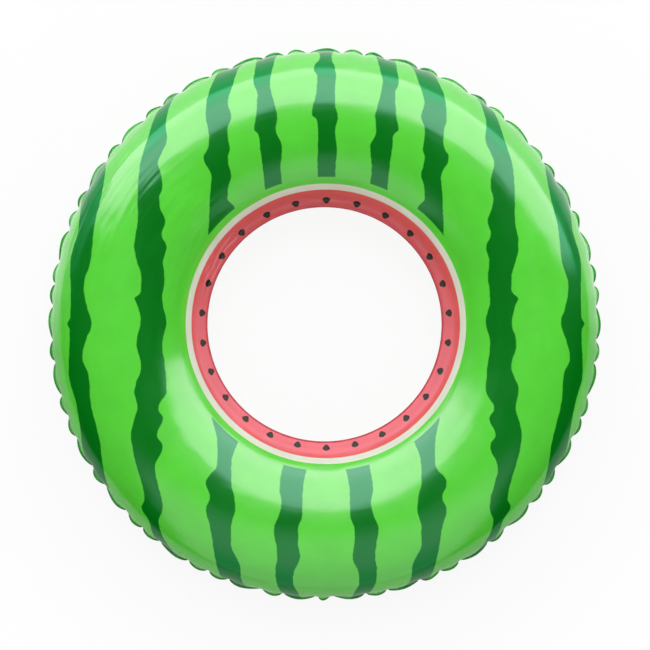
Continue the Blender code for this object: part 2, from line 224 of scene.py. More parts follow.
# %% The grid
PER_PUCKER = 12
EVEN_FROM = math.radians(24)  # angle from which the columns are evenly spaced
ROWS_NEAR = [0, 0.6, 1.25, 2, 3, 4.2, 5.6, 7.2, 9, 11, 13.2, 15.6, 18.1, 20.6, 23]  # degrees
VALVE_ROWS = 9  # fine rows on each side of the valve
VALVE_ROW_STEP = 1.85  # degrees
ROWS_FAR = 22
HEM = [(0.0007, 0.00031), (0.0004, 0.00036), (0.0002, 0.00052)]  # reach into the weld, height

middle_degrees = math.degrees(VALVE_DROP)
valve_rows = [middle_degrees + VALVE_ROW_STEP * i for i in range(-VALVE_ROWS, VALVE_ROWS + 1)]
far_rows = np.linspace(valve_rows[-1], math.degrees(line_angle[-1]), ROWS_FAR + 1)[1:]
row_angle = np.radians(np.concatenate([ROWS_NEAR, valve_rows, far_rows]))
column_k = np.repeat(pucker, PER_PUCKER)
column_share = np.tile(np.arange(PER_PUCKER) / PER_PUCKER, PUCKERS)
crowded_share = 0.5 - 0.5 * np.cos(math.pi * column_share)
row_evenness = 0.5 - 0.5 * np.cos(math.pi * np.minimum(row_angle / EVEN_FROM, 1))


def between_creases(evenness):
    """Azimuth and share of the way to the next crease, for each column of one row."""
    share = crowded_share + (column_share - crowded_share) * evenness
    crowded = crease_azimuth[column_k] + crowded_share * crease_span[column_k]
    even = even_azimuth[column_k] + column_share * even_span[column_k]
    return crowded + (even - crowded) * evenness, share


print(len(row_angle) + 2 * len(HEM), "rows of", len(column_k), "columns")

# %% [markdown]
# A blown-up film is never quite true: it carries long shallow waves a few tenths of a millimetre
# high, which make the edges of the highlights waver. A handful of sine waves gives them, and they
# fade out at the welds.

# %% Points of a sheet
WAVES = ((7, 2, 1.3, 0.00022), (13, -3, 0.4, 0.00014), (22, 4, 2.6, 0.00008),
         (37, -5, 5.1, 0.00005))  # waves round the ring and round the tube, start, height
WAVES_FADE = 0.7  # below 1: they are low only close to the welds


def waver(azimuth, angle):
    """Height of the long waves, which fade out towards both welds."""
    total = 0
    for round_ring, round_tube, start, height in WAVES:
        total = total + height * np.sin(round_ring * azimuth + round_tube * angle + start)
    return total * np.sin(math.pi * np.minimum(angle / line_angle[-1], 1)) ** WAVES_FADE


def at(azimuth, out, height):
    return np.stack([out * np.cos(azimuth), out * np.sin(azimuth), height + 0 * azimuth], -1)


def sheet_points(side):
    """Places of a sheet's points and their places on the flat sheet, row by row from the outside.

    A place on the flat sheet is x, y and the distance from the inner weld.
    """
    rows, flat = [], []

    def keep(azimuth, out, height, run):
        rows.append(at(azimuth, out, np.maximum(height, 0.0)))
        flat.append(at(azimuth, HOLE_RADIUS + run, run))

    azimuth, share = between_creases(0.0)
    seam_out = OUTER_RADIUS - draw_in(column_k, share, 0.0)
    seam_height = centre_height + lift_up(column_k, share)
    for reach, half in HEM:
        keep(azimuth, seam_out + reach, seam_height + side * half, sheet_width + reach)
    for angle, evenness in zip(row_angle, row_evenness):
        azimuth, share = between_creases(evenness)
        inward = draw_in(column_k, share, angle) - waver(azimuth, angle)
        out = np.interp(angle, line_angle, line_out) - inward * math.cos(angle)
        rise = np.interp(angle, line_angle, line_height) + sheet_lift - inward * math.sin(angle)
        lift = lift_up(column_k, share) * math.exp(-angle / LIFT_FADE)
        run = sheet_width - np.interp(angle, line_angle, line_length)
        keep(azimuth, out, centre_height + lift + side * rise, run)
    for reach, half in reversed(HEM):
        keep(azimuth, HOLE_RADIUS - reach + 0 * azimuth, centre_height + side * half, -reach)
    return np.array(rows), np.array(flat)


print("waves add up to", round(sum(wave[-1] for wave in WAVES) * 1000, 2), "mm")

# %% [markdown]
# ## The valve's seat
#
# The valve base is a flat disc, so the film lies flat over it. The seat's own axes are: X along the
# ring, Y up the tube towards the seam, Z out through the film. The same four corners as in the CAD
# model give its place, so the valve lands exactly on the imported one.

# %% The seat's place
seat_corners = []
for angle in seat_angles:
    out = float(np.interp(angle, line_angle, line_out))
    height = centre_height - float(np.interp(angle, line_angle, line_height)) - sheet_lift
    for turn in (-seat_turn, seat_turn):
        azimuth = -math.pi / 2 + turn
        corner = (out * math.cos(azimuth), out * math.sin(azimuth), height)
        seat_corners.append(Vector(corner))
along = (seat_corners[1] - seat_corners[0]).normalized()
up = (seat_corners[0] + seat_corners[1] - seat_corners[2] - seat_corners[3]).normalized()
outward = along.cross(up)
seat = Matrix((along, up, outward)).transposed().to_4x4()
seat.translation = sum(seat_corners, Vector()) / 4
print("valve seat", [round(v, 6) for v in seat.translation], "axis", [round(v, 6) for v in outward])

# %% [markdown]
# The lower sheet needs a round hole where the valve comes through. A Boolean would cut ragged
# triangles into the grid. Instead a square of eight by eight cells is left out, and the rows and
# columns around it are drawn onto a circle, which keeps the mesh in clean quads.

# %% Flat pad and round hole
RECESS_RADIUS = 0.0102
COLLAR_WALL = 0.0008
collar_radius = RECESS_RADIUS + COLLAR_WALL
HOLE_CELLS = 4  # half the cells left out, each way
ROUND_CELLS = 8  # cells from the middle within which lines are bent
PAD_FLAT, PAD_END = 0.0165, 0.03  # radius of the flat film, and where it joins the tube


def smooth(x):
    x = np.clip(x, 0, 1)
    return x * x * (3 - 2 * x)


def seat_valve(rows):
    """Flattens the film at the valve's seat and opens the hole. Returns the cells left out."""
    into = np.array(seat.inverted())
    back = np.array(seat)
    local = rows @ into[:3, :3].T + into[:3, 3]
    away = np.hypot(local[..., 0], local[..., 1])
    here = (away < PAD_END) & (np.abs(local[..., 2]) < PAD_END)
    keep = smooth((away - PAD_FLAT) / (PAD_END - PAD_FLAT))
    local[..., 2] = np.where(here, local[..., 2] * keep, local[..., 2])
    middle_row = len(HEM) + len(ROWS_NEAR) + VALVE_ROWS
    middle_column = (PUCKERS - 1) * PER_PUCKER + PER_PUCKER // 2
    opening = collar_radius + GAP
    count = rows.shape[1]
    for i in range(-ROUND_CELLS + 1, ROUND_CELLS):
        for j in range(-ROUND_CELLS + 1, ROUND_CELLS):
            far = max(abs(i), abs(j)) / HOLE_CELLS
            if far < 1:
                continue
            point = local[middle_row + i, (middle_column + j) % count]
            turn = math.atan2(-i, j)
            share = smooth((far - 1) / (ROUND_CELLS / HOLE_CELLS - 1))
            for axis, round_place in ((0, math.cos(turn)), (1, math.sin(turn))):
                ring_place = opening * far * round_place
                point[axis] = ring_place + (point[axis] - ring_place) * share
    rows[:] = local @ back[:3, :3].T + back[:3, 3]
    cells = range(-HOLE_CELLS, HOLE_CELLS)
    return {(middle_row + i, (middle_column + j) % count) for i in cells for j in cells}


print("hole for the valve", round(2000 * (collar_radius + GAP), 1), "mm across")

# %% [markdown]
# The grid becomes a mesh with its place on the flat sheet stored at each point, as an attribute
# that the print reads later. A Solidify modifier gives the film its 0.3 mm, inwards, and puts the
# unprinted look on its inner face.

# %% Both sheets
def add_piece(name, places, faces, body, node, edges=()):
    """A smooth mesh object that stands for a CAD node.

    It rides on a body, or on none.
    """
    mesh = bpy.data.meshes.new(name)
    mesh.from_pydata([tuple(p) for p in places], list(edges), faces)
    mesh.shade_smooth()
    made = bpy.data.objects.new(name, mesh)
    bpy.context.scene.collection.objects.link(made)
    if body:
        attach(made, body)
    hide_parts(node)
    return made


def grid_faces(row_count, column_count, side, left_out=()):
    """Quads between neighbouring rows, round the ring, facing outwards for that side."""
    faces = []
    for i in range(row_count - 1):
        for j in range(column_count):
            if (i, j) in left_out:
                continue
            k = (j + 1) % column_count
            a, b = i * column_count, (i + 1) * column_count
            corners = (a + j, a + k, b + k, b + j)
            faces.append(corners if side > 0 else corners[::-1])
    return faces


def add_sheet(name, side, node):
    rows, flat = sheet_points(side)
    left_out = seat_valve(rows) if side < 0 else ()
    faces = grid_faces(rows.shape[0], rows.shape[1], side, left_out)
    used = sorted({corner for face in faces for corner in face})
    new_place = {old: new for new, old in enumerate(used)}
    faces = [tuple(new_place[c] for c in face) for face in faces]
    places, flat = rows.reshape(-1, 3)[used], flat.reshape(-1, 3)[used]
    made = add_piece(name, places, faces, "ring", node)
    stored = made.data.attributes.new("flat_sheet", "FLOAT_VECTOR", "POINT")
    stored.data.foreach_set("vector", flat.astype(np.float32).ravel())
    wall = made.modifiers.new("film", "SOLIDIFY")
    wall.thickness = FILM
    wall.offset = -1
    wall.material_offset = 1
    return made


sheets = [add_sheet("sheet_top", 1, "top_film"), add_sheet("sheet_bottom", -1, "bottom_film")]
print("faces of the sheets", [len(s.data.polygons) for s in sheets])

# %% [markdown]
# ## The welds
#
# A radio-frequency welder presses both sheets between brass bars and melts them into one band. The
# outer band stands out of the tube as a flange. Its free edge is longer than the line that it is
# gathered onto, so it ripples, and at each crease it is folded in and tips up or down. The band is
# a lens-shaped profile swept along the seam. The inner band lies flat round the hole.

# %% Welded bands
WELD_PROFILE = [(-0.0006, 0.0002), (0.0005, 0.0003), (0.0015, 0.0003), (0.0024, 0.00029),
                (0.0028, 0.00022), (0.0031, 0.0001)]  # reach from the film's edge, half thickness
RIPPLES = ((163, 0.0, 0.0005), (109, 1.9, 0.0004), (71, 4.0, 0.0004))  # waves, start, height
CREASE_TIP = math.radians(68)  # how steeply a crease folds the band up or down
TIP_REACH = 0.003  # how far along the seam from a crease the fold reaches
RIPPLE_REACH = 0.0043  # a ripple grows outwards, and would have its full height there
INNER_PROFILE = [(0.0002, 0.0002), (-0.0012, 0.0003), (-0.0022, 0.0003), (-0.0028, 0.00022),
                 (-0.003, 0.0001)]
INNER_WAVES = ((29, 0.0, 0.00025), (43, 2.0, 0.0002))  # waves, start, height
BAND_COLUMNS = 18  # for each pucker
INNER_COLUMNS = 384


def add_band(name, sections, node):
    """A closed band swept round the ring. sections is (points of the profile, columns, 3)."""
    count, columns = sections.shape[:2]
    closed = np.concatenate([sections, sections[:1]])
    faces = [tuple(c % (count * columns) for c in f) for f in grid_faces(count + 1, columns, 1)]
    return add_piece(name, closed[:-1].reshape(-1, 3), faces, "ring", node)


def ripple_at(azimuth, waves):
    return sum(h * np.sin(count * azimuth + start) for count, start, h in waves)


band_k = np.repeat(pucker, BAND_COLUMNS)
band_share = 0.5 - 0.5 * np.cos(math.pi * np.tile(np.arange(BAND_COLUMNS) / BAND_COLUMNS, PUCKERS))
band_azimuth = crease_azimuth[band_k] + band_share * crease_span[band_k]
band_out = OUTER_RADIUS - draw_in(band_k, band_share, 0.0)
band_lift = lift_up(band_k, band_share)
tip = 0
for crease, share in ((band_k, band_share), ((band_k + 1) % PUCKERS, 1 - band_share)):
    away = share * crease_span[band_k] * OUTER_RADIUS / TIP_REACH
    tip = tip + CREASE_TIP * np.sign(crease_lift[crease]) * np.exp(-(away**2))
ripple = ripple_at(band_azimuth, RIPPLES)
outer_sections = []
for side in (1, -1):
    for reach, half in WELD_PROFILE[::side]:
        grown = (max(reach, 0) / RIPPLE_REACH) ** 2
        rise = reach * np.sin(tip) + ripple * grown + side * half * np.cos(tip)
        run = reach * np.cos(tip) - side * half * np.sin(tip)
        outer_sections.append(at(band_azimuth, band_out + run, centre_height + band_lift + rise))
outer_band = add_band("outer_weld", np.array(outer_sections), "outer_weld_seam")

hole_azimuth = np.linspace(0, 2 * math.pi, INNER_COLUMNS, endpoint=False)
hole_wave = ripple_at(hole_azimuth, INNER_WAVES)
inner_sections = []
for side in (-1, 1):
    for reach, half in INNER_PROFILE[::-side]:
        height = centre_height + hole_wave * (reach / INNER_FLANGE) ** 2 + side * half
        inner_sections.append(at(hole_azimuth, HOLE_RADIUS + reach + 0 * hole_azimuth, height))
inner_band = add_band("inner_weld", np.array(inner_sections), "inner_weld_seam")
print("band faces", len(outer_band.data.polygons), len(inner_band.data.polygons))

# %% [markdown]
# ## The valve
#
# The valve is injection moulded in soft clear PVC. Turned pieces are drawn as half a section and
# spun with a Screw modifier, as a mould maker would draw them. Their corners are rounded first,
# because a mould has no razor edge and a small radius is what catches the light.

# %% Sizes of the valve
FLANGE_RADIUS = 0.0155  # of the base's disc
FLANGE_THICK = 0.001
flange_top = -FILM - GAP  # heights are above the film's outer face
NECK_BORE = 0.0034  # radius
NECK_WALL = 0.0018
NECK_TOP = 0.0004
NECK_LENGTH = 0.0104
LIP_PROUD = 0.0007
LIP_DEPTH = 0.0012
neck_outer = NECK_BORE + NECK_WALL
neck_bottom = NECK_TOP - NECK_LENGTH
lip_radius = neck_outer + LIP_PROUD
print("neck", round(2000 * neck_outer, 1), "mm across,", round(1000 * NECK_LENGTH, 1), "mm long")

# %% [markdown]
# Two helpers do the moulding: one rounds the corners of a profile, one spins it into a solid. A
# third bakes what the modifiers made, so that the piece is plain mesh at its final place.

# %% Turned solids
TURN_STEPS = 72
CORNER_STEPS = 4
SIDE_SHARE = 0.45  # most of a side that the arc at a corner may take
MERGE = 0.000005  # points of a turned solid closer than this become one
CRISP = 50  # degrees; a sharper edge is shaded as an edge


def rounded(profile, radius, closed=True):
    """The profile with an arc of that radius at each corner, or less where a side is short."""
    made = []
    for i, here in enumerate(profile):
        if not closed and i in (0, len(profile) - 1):
            made.append(tuple(here))
            continue
        corner = Vector(here)
        before = Vector(profile[i - 1]) - corner
        after = Vector(profile[(i + 1) % len(profile)]) - corner
        reach = min(radius, before.length * SIDE_SHARE, after.length * SIDE_SHARE)
        start, end = corner + before.normalized() * reach, corner + after.normalized() * reach
        for step in range(CORNER_STEPS + 1):
            share = step / CORNER_STEPS
            one, two = start.lerp(corner, share), corner.lerp(end, share)
            made.append(tuple(one.lerp(two, share)))
    return made


def turned(name, profile, body, node, closed=True):
    """A solid of revolution about the valve's axis. The profile is a list of (radius, height)."""
    edges = [(i, i + 1) for i in range(len(profile) - 1)] + [(len(profile) - 1, 0)] * closed
    made = add_piece(name, [(r, 0, h) for r, h in profile], [], body, node, edges)
    spin = made.modifiers.new("turn", "SCREW")
    spin.steps = spin.render_steps = TURN_STEPS
    spin.use_merge_vertices = True
    spin.merge_threshold = MERGE
    spin.use_smooth_shade = True
    settle(made)
    return made


def settle(piece, place=seat, crisp=CRISP):
    """Applies a piece's modifiers, turns its faces outwards and moves it to the valve's seat."""
    evaluated = piece.evaluated_get(bpy.context.evaluated_depsgraph_get())
    mesh = bpy.data.meshes.new_from_object(evaluated)
    work = bmesh.new()
    work.from_mesh(mesh)
    bmesh.ops.recalc_face_normals(work, faces=work.faces)
    work.to_mesh(mesh)
    work.free()
    piece.modifiers.clear()
    piece.data = mesh
    mesh.transform(place)
    mesh.shade_smooth()
    mesh.set_sharp_from_angle(angle=math.radians(crisp))
    print(piece.name, len(mesh.polygons), "faces")


# %% [markdown]
# The base is a disc under the film, with a collar that stands in the film's hole. Its top edge
# carries a small bead that laps over the film, where the weld has pushed out some melt.

# %% Base and neck
BEAD_REACH = 0.0008
BEAD_HEIGHT = 0.0003
BEAD_OFF = 0.00002  # a hair of air between bead and film
BASE_ROUND = 0.00025
LIP_SLOPE = 0.0004
NECK_ROUND = 0.0004
base_profile = [
    (FLANGE_RADIUS, flange_top),
    (FLANGE_RADIUS, flange_top - FLANGE_THICK),
    (RECESS_RADIUS, flange_top - FLANGE_THICK),
    (RECESS_RADIUS, BEAD_HEIGHT),
    (collar_radius + BEAD_REACH, BEAD_HEIGHT),
    (collar_radius + BEAD_REACH, BEAD_OFF),
    (collar_radius, BEAD_OFF),
    (collar_radius, flange_top),
]
base = turned("valve_base_disc", rounded(base_profile, BASE_ROUND), "ring",
              "valve_base")

neck_profile = [
    (NECK_BORE, NECK_TOP),
    (lip_radius, NECK_TOP),
    (lip_radius, NECK_TOP - LIP_DEPTH),
    (neck_outer, NECK_TOP - LIP_DEPTH - LIP_SLOPE),
    (neck_outer, neck_bottom),
    (NECK_BORE, neck_bottom),
]
neck = turned("valve_stem", rounded(neck_profile, NECK_ROUND), "neck",
              "valve_neck")

# %% [markdown]
# The web is the thin wall that rolls over when the neck is pushed in or pulled out. It starts at
# the collar, runs down and turns under the neck. On the real valve, pulling the neck turns the wall
# inside out. Here it rides on no body, and its place is baked into its mesh.

# %% Rolling web
WEB_WALL = 0.0007
WEB_DRAW = 0.0014  # how far the web is drawn in where it turns
WEB_TURN = 0.62  # share of its depth at which it turns
WEB_POINTS = 16  # on each of the two Bezier curves that meet there
WEB_PULL = 0.3  # of the first handle, as a share of the web's depth
WEB_PULLS = (0.4, 0.8)  # of the handles above and below the turn, as shares of that one
flange_middle = flange_top - FLANGE_THICK / 2
web_end = neck_bottom + WEB_WALL / 2


def across(line, i):
    """Unit vector across a line of points at its point i."""
    run = (line[min(i + 1, len(line) - 1)] - line[max(i - 1, 0)]).normalized()
    return Vector((-run.y, run.x))


web_start = Vector((RECESS_RADIUS - GAP - WEB_WALL / 2, flange_middle))
web_turn = Vector((RECESS_RADIUS - WEB_DRAW, web_end * WEB_TURN))
web_stop = Vector((neck_outer + GAP + WEB_WALL / 2, web_end))
web_down = Vector((0.0, web_end * WEB_PULL))
web_wall = interpolate_bezier(web_start, web_start + web_down,
                              web_turn - web_down * WEB_PULLS[0], web_turn, WEB_POINTS)
web_under = interpolate_bezier(web_turn, web_turn + web_down * WEB_PULLS[1],
                               web_stop + Vector((WEB_WALL * 2, 0)), web_stop, WEB_POINTS)
web_line = web_wall + web_under[1:]
web_sides = [[], []]
for i, point in enumerate(web_line):
    side = across(web_line, i) * WEB_WALL / 2
    web_sides[0].append(tuple(point + side))
    web_sides[1].append(tuple(point - side))
web = turned("valve_rolling_web", web_sides[0] + web_sides[1][::-1], None,
             "valve_web")
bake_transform(web)

# %% [markdown]
# The plug is a hollow stopper with a domed head and a grip tab. The head and tab are one moulding,
# so the tab is joined with a Boolean union. It starts as a block, its two far corners are rounded,
# and then all its edges are softened, as a mould's are.

# %% The plug's grip tab
HEAD_PROUD = 0.0007
HEAD_THICK = 0.0013
TAB_LENGTH = 0.0039
TAB_WIDTH = 0.0052
TAB_THICK = 0.0009
TAB_ROUND = 0.4  # radius of its far corners, as a share of its width
TAB_EDGE = 0.00022
EDGE = math.radians(60)  # faces that meet at more than this have an edge to soften
head_radius = lip_radius + HEAD_PROUD
under_head = NECK_TOP + GAP


def soften(work, width, segments):
    """Rounds every edge of a bmesh."""
    edges = [e for e in work.edges if e.calc_face_angle(0) > EDGE]
    bmesh.ops.bevel(work, geom=edges, offset=width, segments=segments, profile=0.5, affect="EDGES")


tab_inner, tab_outer = head_radius / 2, head_radius + TAB_LENGTH
tab_mesh = bmesh.new()
bmesh.ops.create_cube(tab_mesh, size=1.0)
bmesh.ops.scale(tab_mesh, vec=(tab_outer - tab_inner, TAB_WIDTH, TAB_THICK), verts=tab_mesh.verts)
ends = [e for e in tab_mesh.edges
        if abs(e.verts[0].co.z - e.verts[1].co.z) > TAB_THICK / 2 and e.verts[0].co.x < 0]
bmesh.ops.bevel(tab_mesh, geom=ends, offset=TAB_WIDTH * TAB_ROUND, segments=8, profile=0.5,
                affect="EDGES")
soften(tab_mesh, TAB_EDGE, 3)
tab_middle = Vector((-(tab_inner + tab_outer) / 2, 0, under_head + HEAD_THICK / 2))
bmesh.ops.translate(tab_mesh, vec=tab_middle, verts=tab_mesh.verts)
tab_data = bpy.data.meshes.new("grip_tab")
tab_mesh.to_mesh(tab_data)
tab_mesh.free()
tab_data.transform(seat)
tab_tool = bpy.data.objects.new("grip_tab", tab_data)
bpy.context.scene.collection.objects.link(tab_tool)
print("tab", round(1000 * (tab_outer - tab_inner), 1), "mm long with what lies in the head")

# %% [markdown]
# The stopper is turned like the neck. Its profile starts and ends on the axis, so it isn't closed.

# %% The plug
PLUG_CLEARANCE = 0.0003
PLUG_LENGTH = 0.0068
PLUG_TAPER = 0.0005
PLUG_WALL = 0.0011
PLUG_ROUND = 0.0003
HEAD_CROWN = 0.0005
DOME_TURN = 1.2  # radians of the dome's arc, from the axis
DOME_SINK = 0.0001
DOME_DROP = 0.0003  # of the corner where the dome meets the head's side
HOLLOW_SLOPE = 0.0004
shank = NECK_BORE - PLUG_CLEARANCE
plug_tip = under_head - PLUG_LENGTH
head_top = under_head + HEAD_THICK
dome = [(head_radius * math.sin(t), head_top + HEAD_CROWN * math.cos(t) - DOME_SINK)
        for t in np.linspace(0, DOME_TURN, 7)]
plug_profile = dome + rounded([
    dome[-1],
    (head_radius, head_top - DOME_DROP),
    (head_radius, under_head),
    (shank, under_head),
    (shank, plug_tip + PLUG_TAPER * 3),
    (shank - PLUG_TAPER, plug_tip),
    (shank - PLUG_WALL, plug_tip),
    (shank - PLUG_WALL, under_head - HOLLOW_SLOPE),
    (0.0, under_head),
], PLUG_ROUND, closed=False)[1:]
plug = turned("valve_stopper", plug_profile, "plug", "valve_plug",
              closed=False)
joining = plug.modifiers.new("tab", "BOOLEAN")
joining.operation = "UNION"
joining.solver = "EXACT"
joining.object = tab_tool
bpy.context.view_layer.update()
settle(plug, place=Matrix(), crisp=40)
bpy.data.objects.remove(tab_tool)

# %% [markdown]
# The check flap is a plain disc with an ear at its hinge, cut from sheet. Its outline is drawn,
# filled with one face, and raised by its thickness.

# %% The flap at the neck's inner end
FLAP_INSET = 0.0006
FLAP_THICK = 0.0007
HINGE_INSET = 0.0001
FLAP_EAR = 0.0032  # how wide the ear is
FLAP_EDGE = 0.00015
FLAP_POINTS = 61
flap_radius = neck_outer - FLAP_INSET
hinge_y = neck_outer - HINGE_INSET
half_ear = math.asin(FLAP_EAR / 2 / flap_radius)
flap_angles = np.linspace(math.pi / 2 + half_ear, 2.5 * math.pi - half_ear, FLAP_POINTS)
flap_outline = [(flap_radius * math.cos(t), flap_radius * math.sin(t)) for t in flap_angles]
flap_outline += [(FLAP_EAR / 2, hinge_y), (-FLAP_EAR / 2, hinge_y)]
flap_level = neck_bottom - GAP - FLAP_THICK / 2
flap_mesh = bmesh.new()
flap_face = flap_mesh.faces.new([flap_mesh.verts.new((x, y, flap_level - FLAP_THICK / 2))
                                 for x, y in flap_outline])
grown = bmesh.ops.extrude_face_region(flap_mesh, geom=[flap_face])
lifted = [v for v in grown["geom"] if isinstance(v, bmesh.types.BMVert)]
bmesh.ops.translate(flap_mesh, vec=(0, 0, FLAP_THICK), verts=lifted)
soften(flap_mesh, FLAP_EDGE, 2)
flap = add_piece("valve_check_flap", [], [], "flap", "valve_flap")
flap_mesh.to_mesh(flap.data)
flap_mesh.free()
settle(flap)

# %% [markdown]
# The strap keeps the plug from getting lost. It is a flat tail that leaves the neck's lip, runs out
# over the film, and loops back to the head. It rides on no body, and its place is baked into its
# mesh.

# %% Strap
STRAP_WIDTH = 0.003
STRAP_THICK = 0.0008
STRAP_RUN = 0.0022  # how far past the collar it reaches
STRAP_LOOP = 0.0014  # radius of the loop
STRAP_EDGE = 0.00025  # slant along each edge
STRAP_POINTS = 12  # on each Bezier curve
LOOP_POINTS = 40
CLIMB_PULL, OUT_PULL = 0.45, 0.4  # of the handles, as shares of the way
strap_level = STRAP_THICK / 2 + NECK_TOP
strap_start = Vector((lip_radius + GAP, NECK_TOP - LIP_DEPTH / 2))
strap_low = Vector((collar_radius + STRAP_RUN, strap_level))
strap_middle = strap_low + Vector((0.0, STRAP_LOOP))
strap_high = strap_middle + Vector((0.0, STRAP_LOOP))
strap_end = Vector((head_radius + GAP, NECK_TOP + GAP + HEAD_THICK / 2))
strap_over = Vector((RECESS_RADIUS, strap_level))
climb = Vector((strap_over.x - strap_start.x, 0.0)) * CLIMB_PULL
strap_out = Vector((strap_low.x - strap_end.x, 0.0)) * OUT_PULL
strap_line = interpolate_bezier(strap_start, strap_start + climb, strap_over - climb, strap_over,
                                STRAP_POINTS)
strap_line += [strap_over.lerp(strap_low, share) for share in (0.34, 0.67, 1.0)]
for turn in np.linspace(-math.pi / 2, math.pi / 2, LOOP_POINTS)[1:-1]:
    strap_line.append(strap_middle + STRAP_LOOP * Vector((math.cos(turn), math.sin(turn))))
strap_line += interpolate_bezier(strap_high, strap_high - strap_out, strap_end + strap_out,
                                 strap_end, STRAP_POINTS)
strap_line[0] -= Vector((GAP * 1.5, 0))
strap_line[-1] -= Vector((GAP * 1.5, 0))
half_w, half_t = STRAP_WIDTH / 2, STRAP_THICK / 2
strap_section = [(half_w, half_t - STRAP_EDGE), (half_w - STRAP_EDGE, half_t)]
strap_section += [(-w, t) for w, t in reversed(strap_section)]
strap_section += [(-w, -t) for w, t in strap_section]
strap_places = []
for i, point in enumerate(strap_line):
    for aside, thick in strap_section:
        place = point + across(strap_line, i) * thick
        strap_places.append((place.x, aside, place.y))
around = len(strap_section)
last = (len(strap_line) - 1) * around
strap_faces = grid_faces(len(strap_line), around, 1)
strap_faces += [tuple(range(around))[::-1], tuple(range(last, last + around))]
strap = add_piece("valve_plug_strap", strap_places, strap_faces, None,
                  "valve_strap")
settle(strap)
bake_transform(strap)
strap_length = sum((b - a).length for a, b in zip(strap_line, strap_line[1:]))
print("strap", round(strap_length * 1000, 1), "mm long")

# %% [markdown]
# ## Finishes
#
# A material is a small graph of nodes. One function adds a node, sets its options and links its
# inputs, and returns one of its outputs, so a graph reads from top to bottom. Inputs are given by
# name or by number. In a Map Range, 0 is the value, 1 and 2 are the ends of what comes in, and 3
# and 4 of what goes out. In a Mix, 0 is the share, 2 and 3 are numbers, and 6 and 7 are colours.
# Colours are written as sRGB hex, as a print shop gives them, and turned to the linear values that
# light adds up in.

# %% One function for colours and one for nodes
WHITE = (1.0, 1.0, 1.0, 1.0)
FLATTEN = (1.0, 1.0, 0.0)  # times a place, leaves out its height
COLOURS = {"out": 2, "data_type": "RGBA"}  # sets a Mix node to colours
NOISE_LOW, NOISE_HIGH = 0.3, 0.7  # what a noise mostly spans


def linear(hex_colour):
    values = [int(hex_colour[i : i + 2], 16) / 255 for i in (0, 2, 4)]
    return [v / 12.92 if v <= 0.04045 else ((v + 0.055) / 1.055) ** 2.4 for v in values] + [1.0]


def add(tree, kind, links=(), out=0, **settings):
    """Adds a node. links pairs an input's name or number with a value or another node's output."""
    made = tree.nodes.new("ShaderNode" + kind)
    for name, value in settings.items():
        setattr(made, name, value)
    for place, source in dict(links).items():
        if isinstance(source, bpy.types.NodeSocket):
            tree.links.new(source, made.inputs[place])
        else:
            made.inputs[place].default_value = source
    return made.outputs[out]


print("mid grey 808080 is", round(linear("808080")[0], 3), "in light")

# %% [markdown]
# Every finish starts with the general plastic shader and ends by linking its colour, roughness and
# bump. What is the same all over a piece is set on the shader's own sockets. The scale of a pattern
# comes from how far apart its features lie on the real thing.

# %% Starting and ending a finish
def every(spacing):
    """Scale of a pattern whose features lie that many millimetres apart."""
    return float(round(1000 / spacing))


def new_material(name, **fixed):
    """A material with its shader, whose fixed settings go on the shader's own sockets."""
    made = bpy.data.materials.new(name)
    made.use_nodes = True
    shader = made.node_tree.nodes["Principled BSDF"]
    for socket, value in fixed.items():
        shader.inputs[socket.replace("_", " ")].default_value = value
    return made, made.node_tree, shader


def wire(shader, **outputs):
    """Links outputs to the shader's sockets."""
    for socket, output in outputs.items():
        shader.id_data.links.new(output, shader.inputs[socket.replace("_", " ")])


def dress(pieces, *finishes):
    """Gives pieces their finishes: the first outside, a second on the inner face of a wall."""
    for piece in pieces:
        piece.data.materials.clear()
        for finish in finishes:
            piece.data.materials.append(finish)
    print([p.name for p in pieces], [(f.name, len(f.node_tree.nodes)) for f in finishes])


print("a pattern of 12.5 mm has a scale of", every(12.5))

# %% [markdown]
# ### The print
#
# The pattern is the common watermelon one: light green with ragged dark stripes, a cream rind, and
# red flesh with seeds round the hole. A printer draws it on the flat sheet. The stripes run
# straight across the flat sheet, and bend only because air bends the film.
#
# Each stripe is drawn by its two edges. The lists give, from the far edge of the ring down, how far
# an edge lies from the middle line, in millimetres as seen from 4 m above. The view is turned into
# places on the flat sheet by the section worked out above. Only the left half is listed, because
# the print is the same on the right. The middle stripe runs beyond the hole only, and has both its
# edges listed.

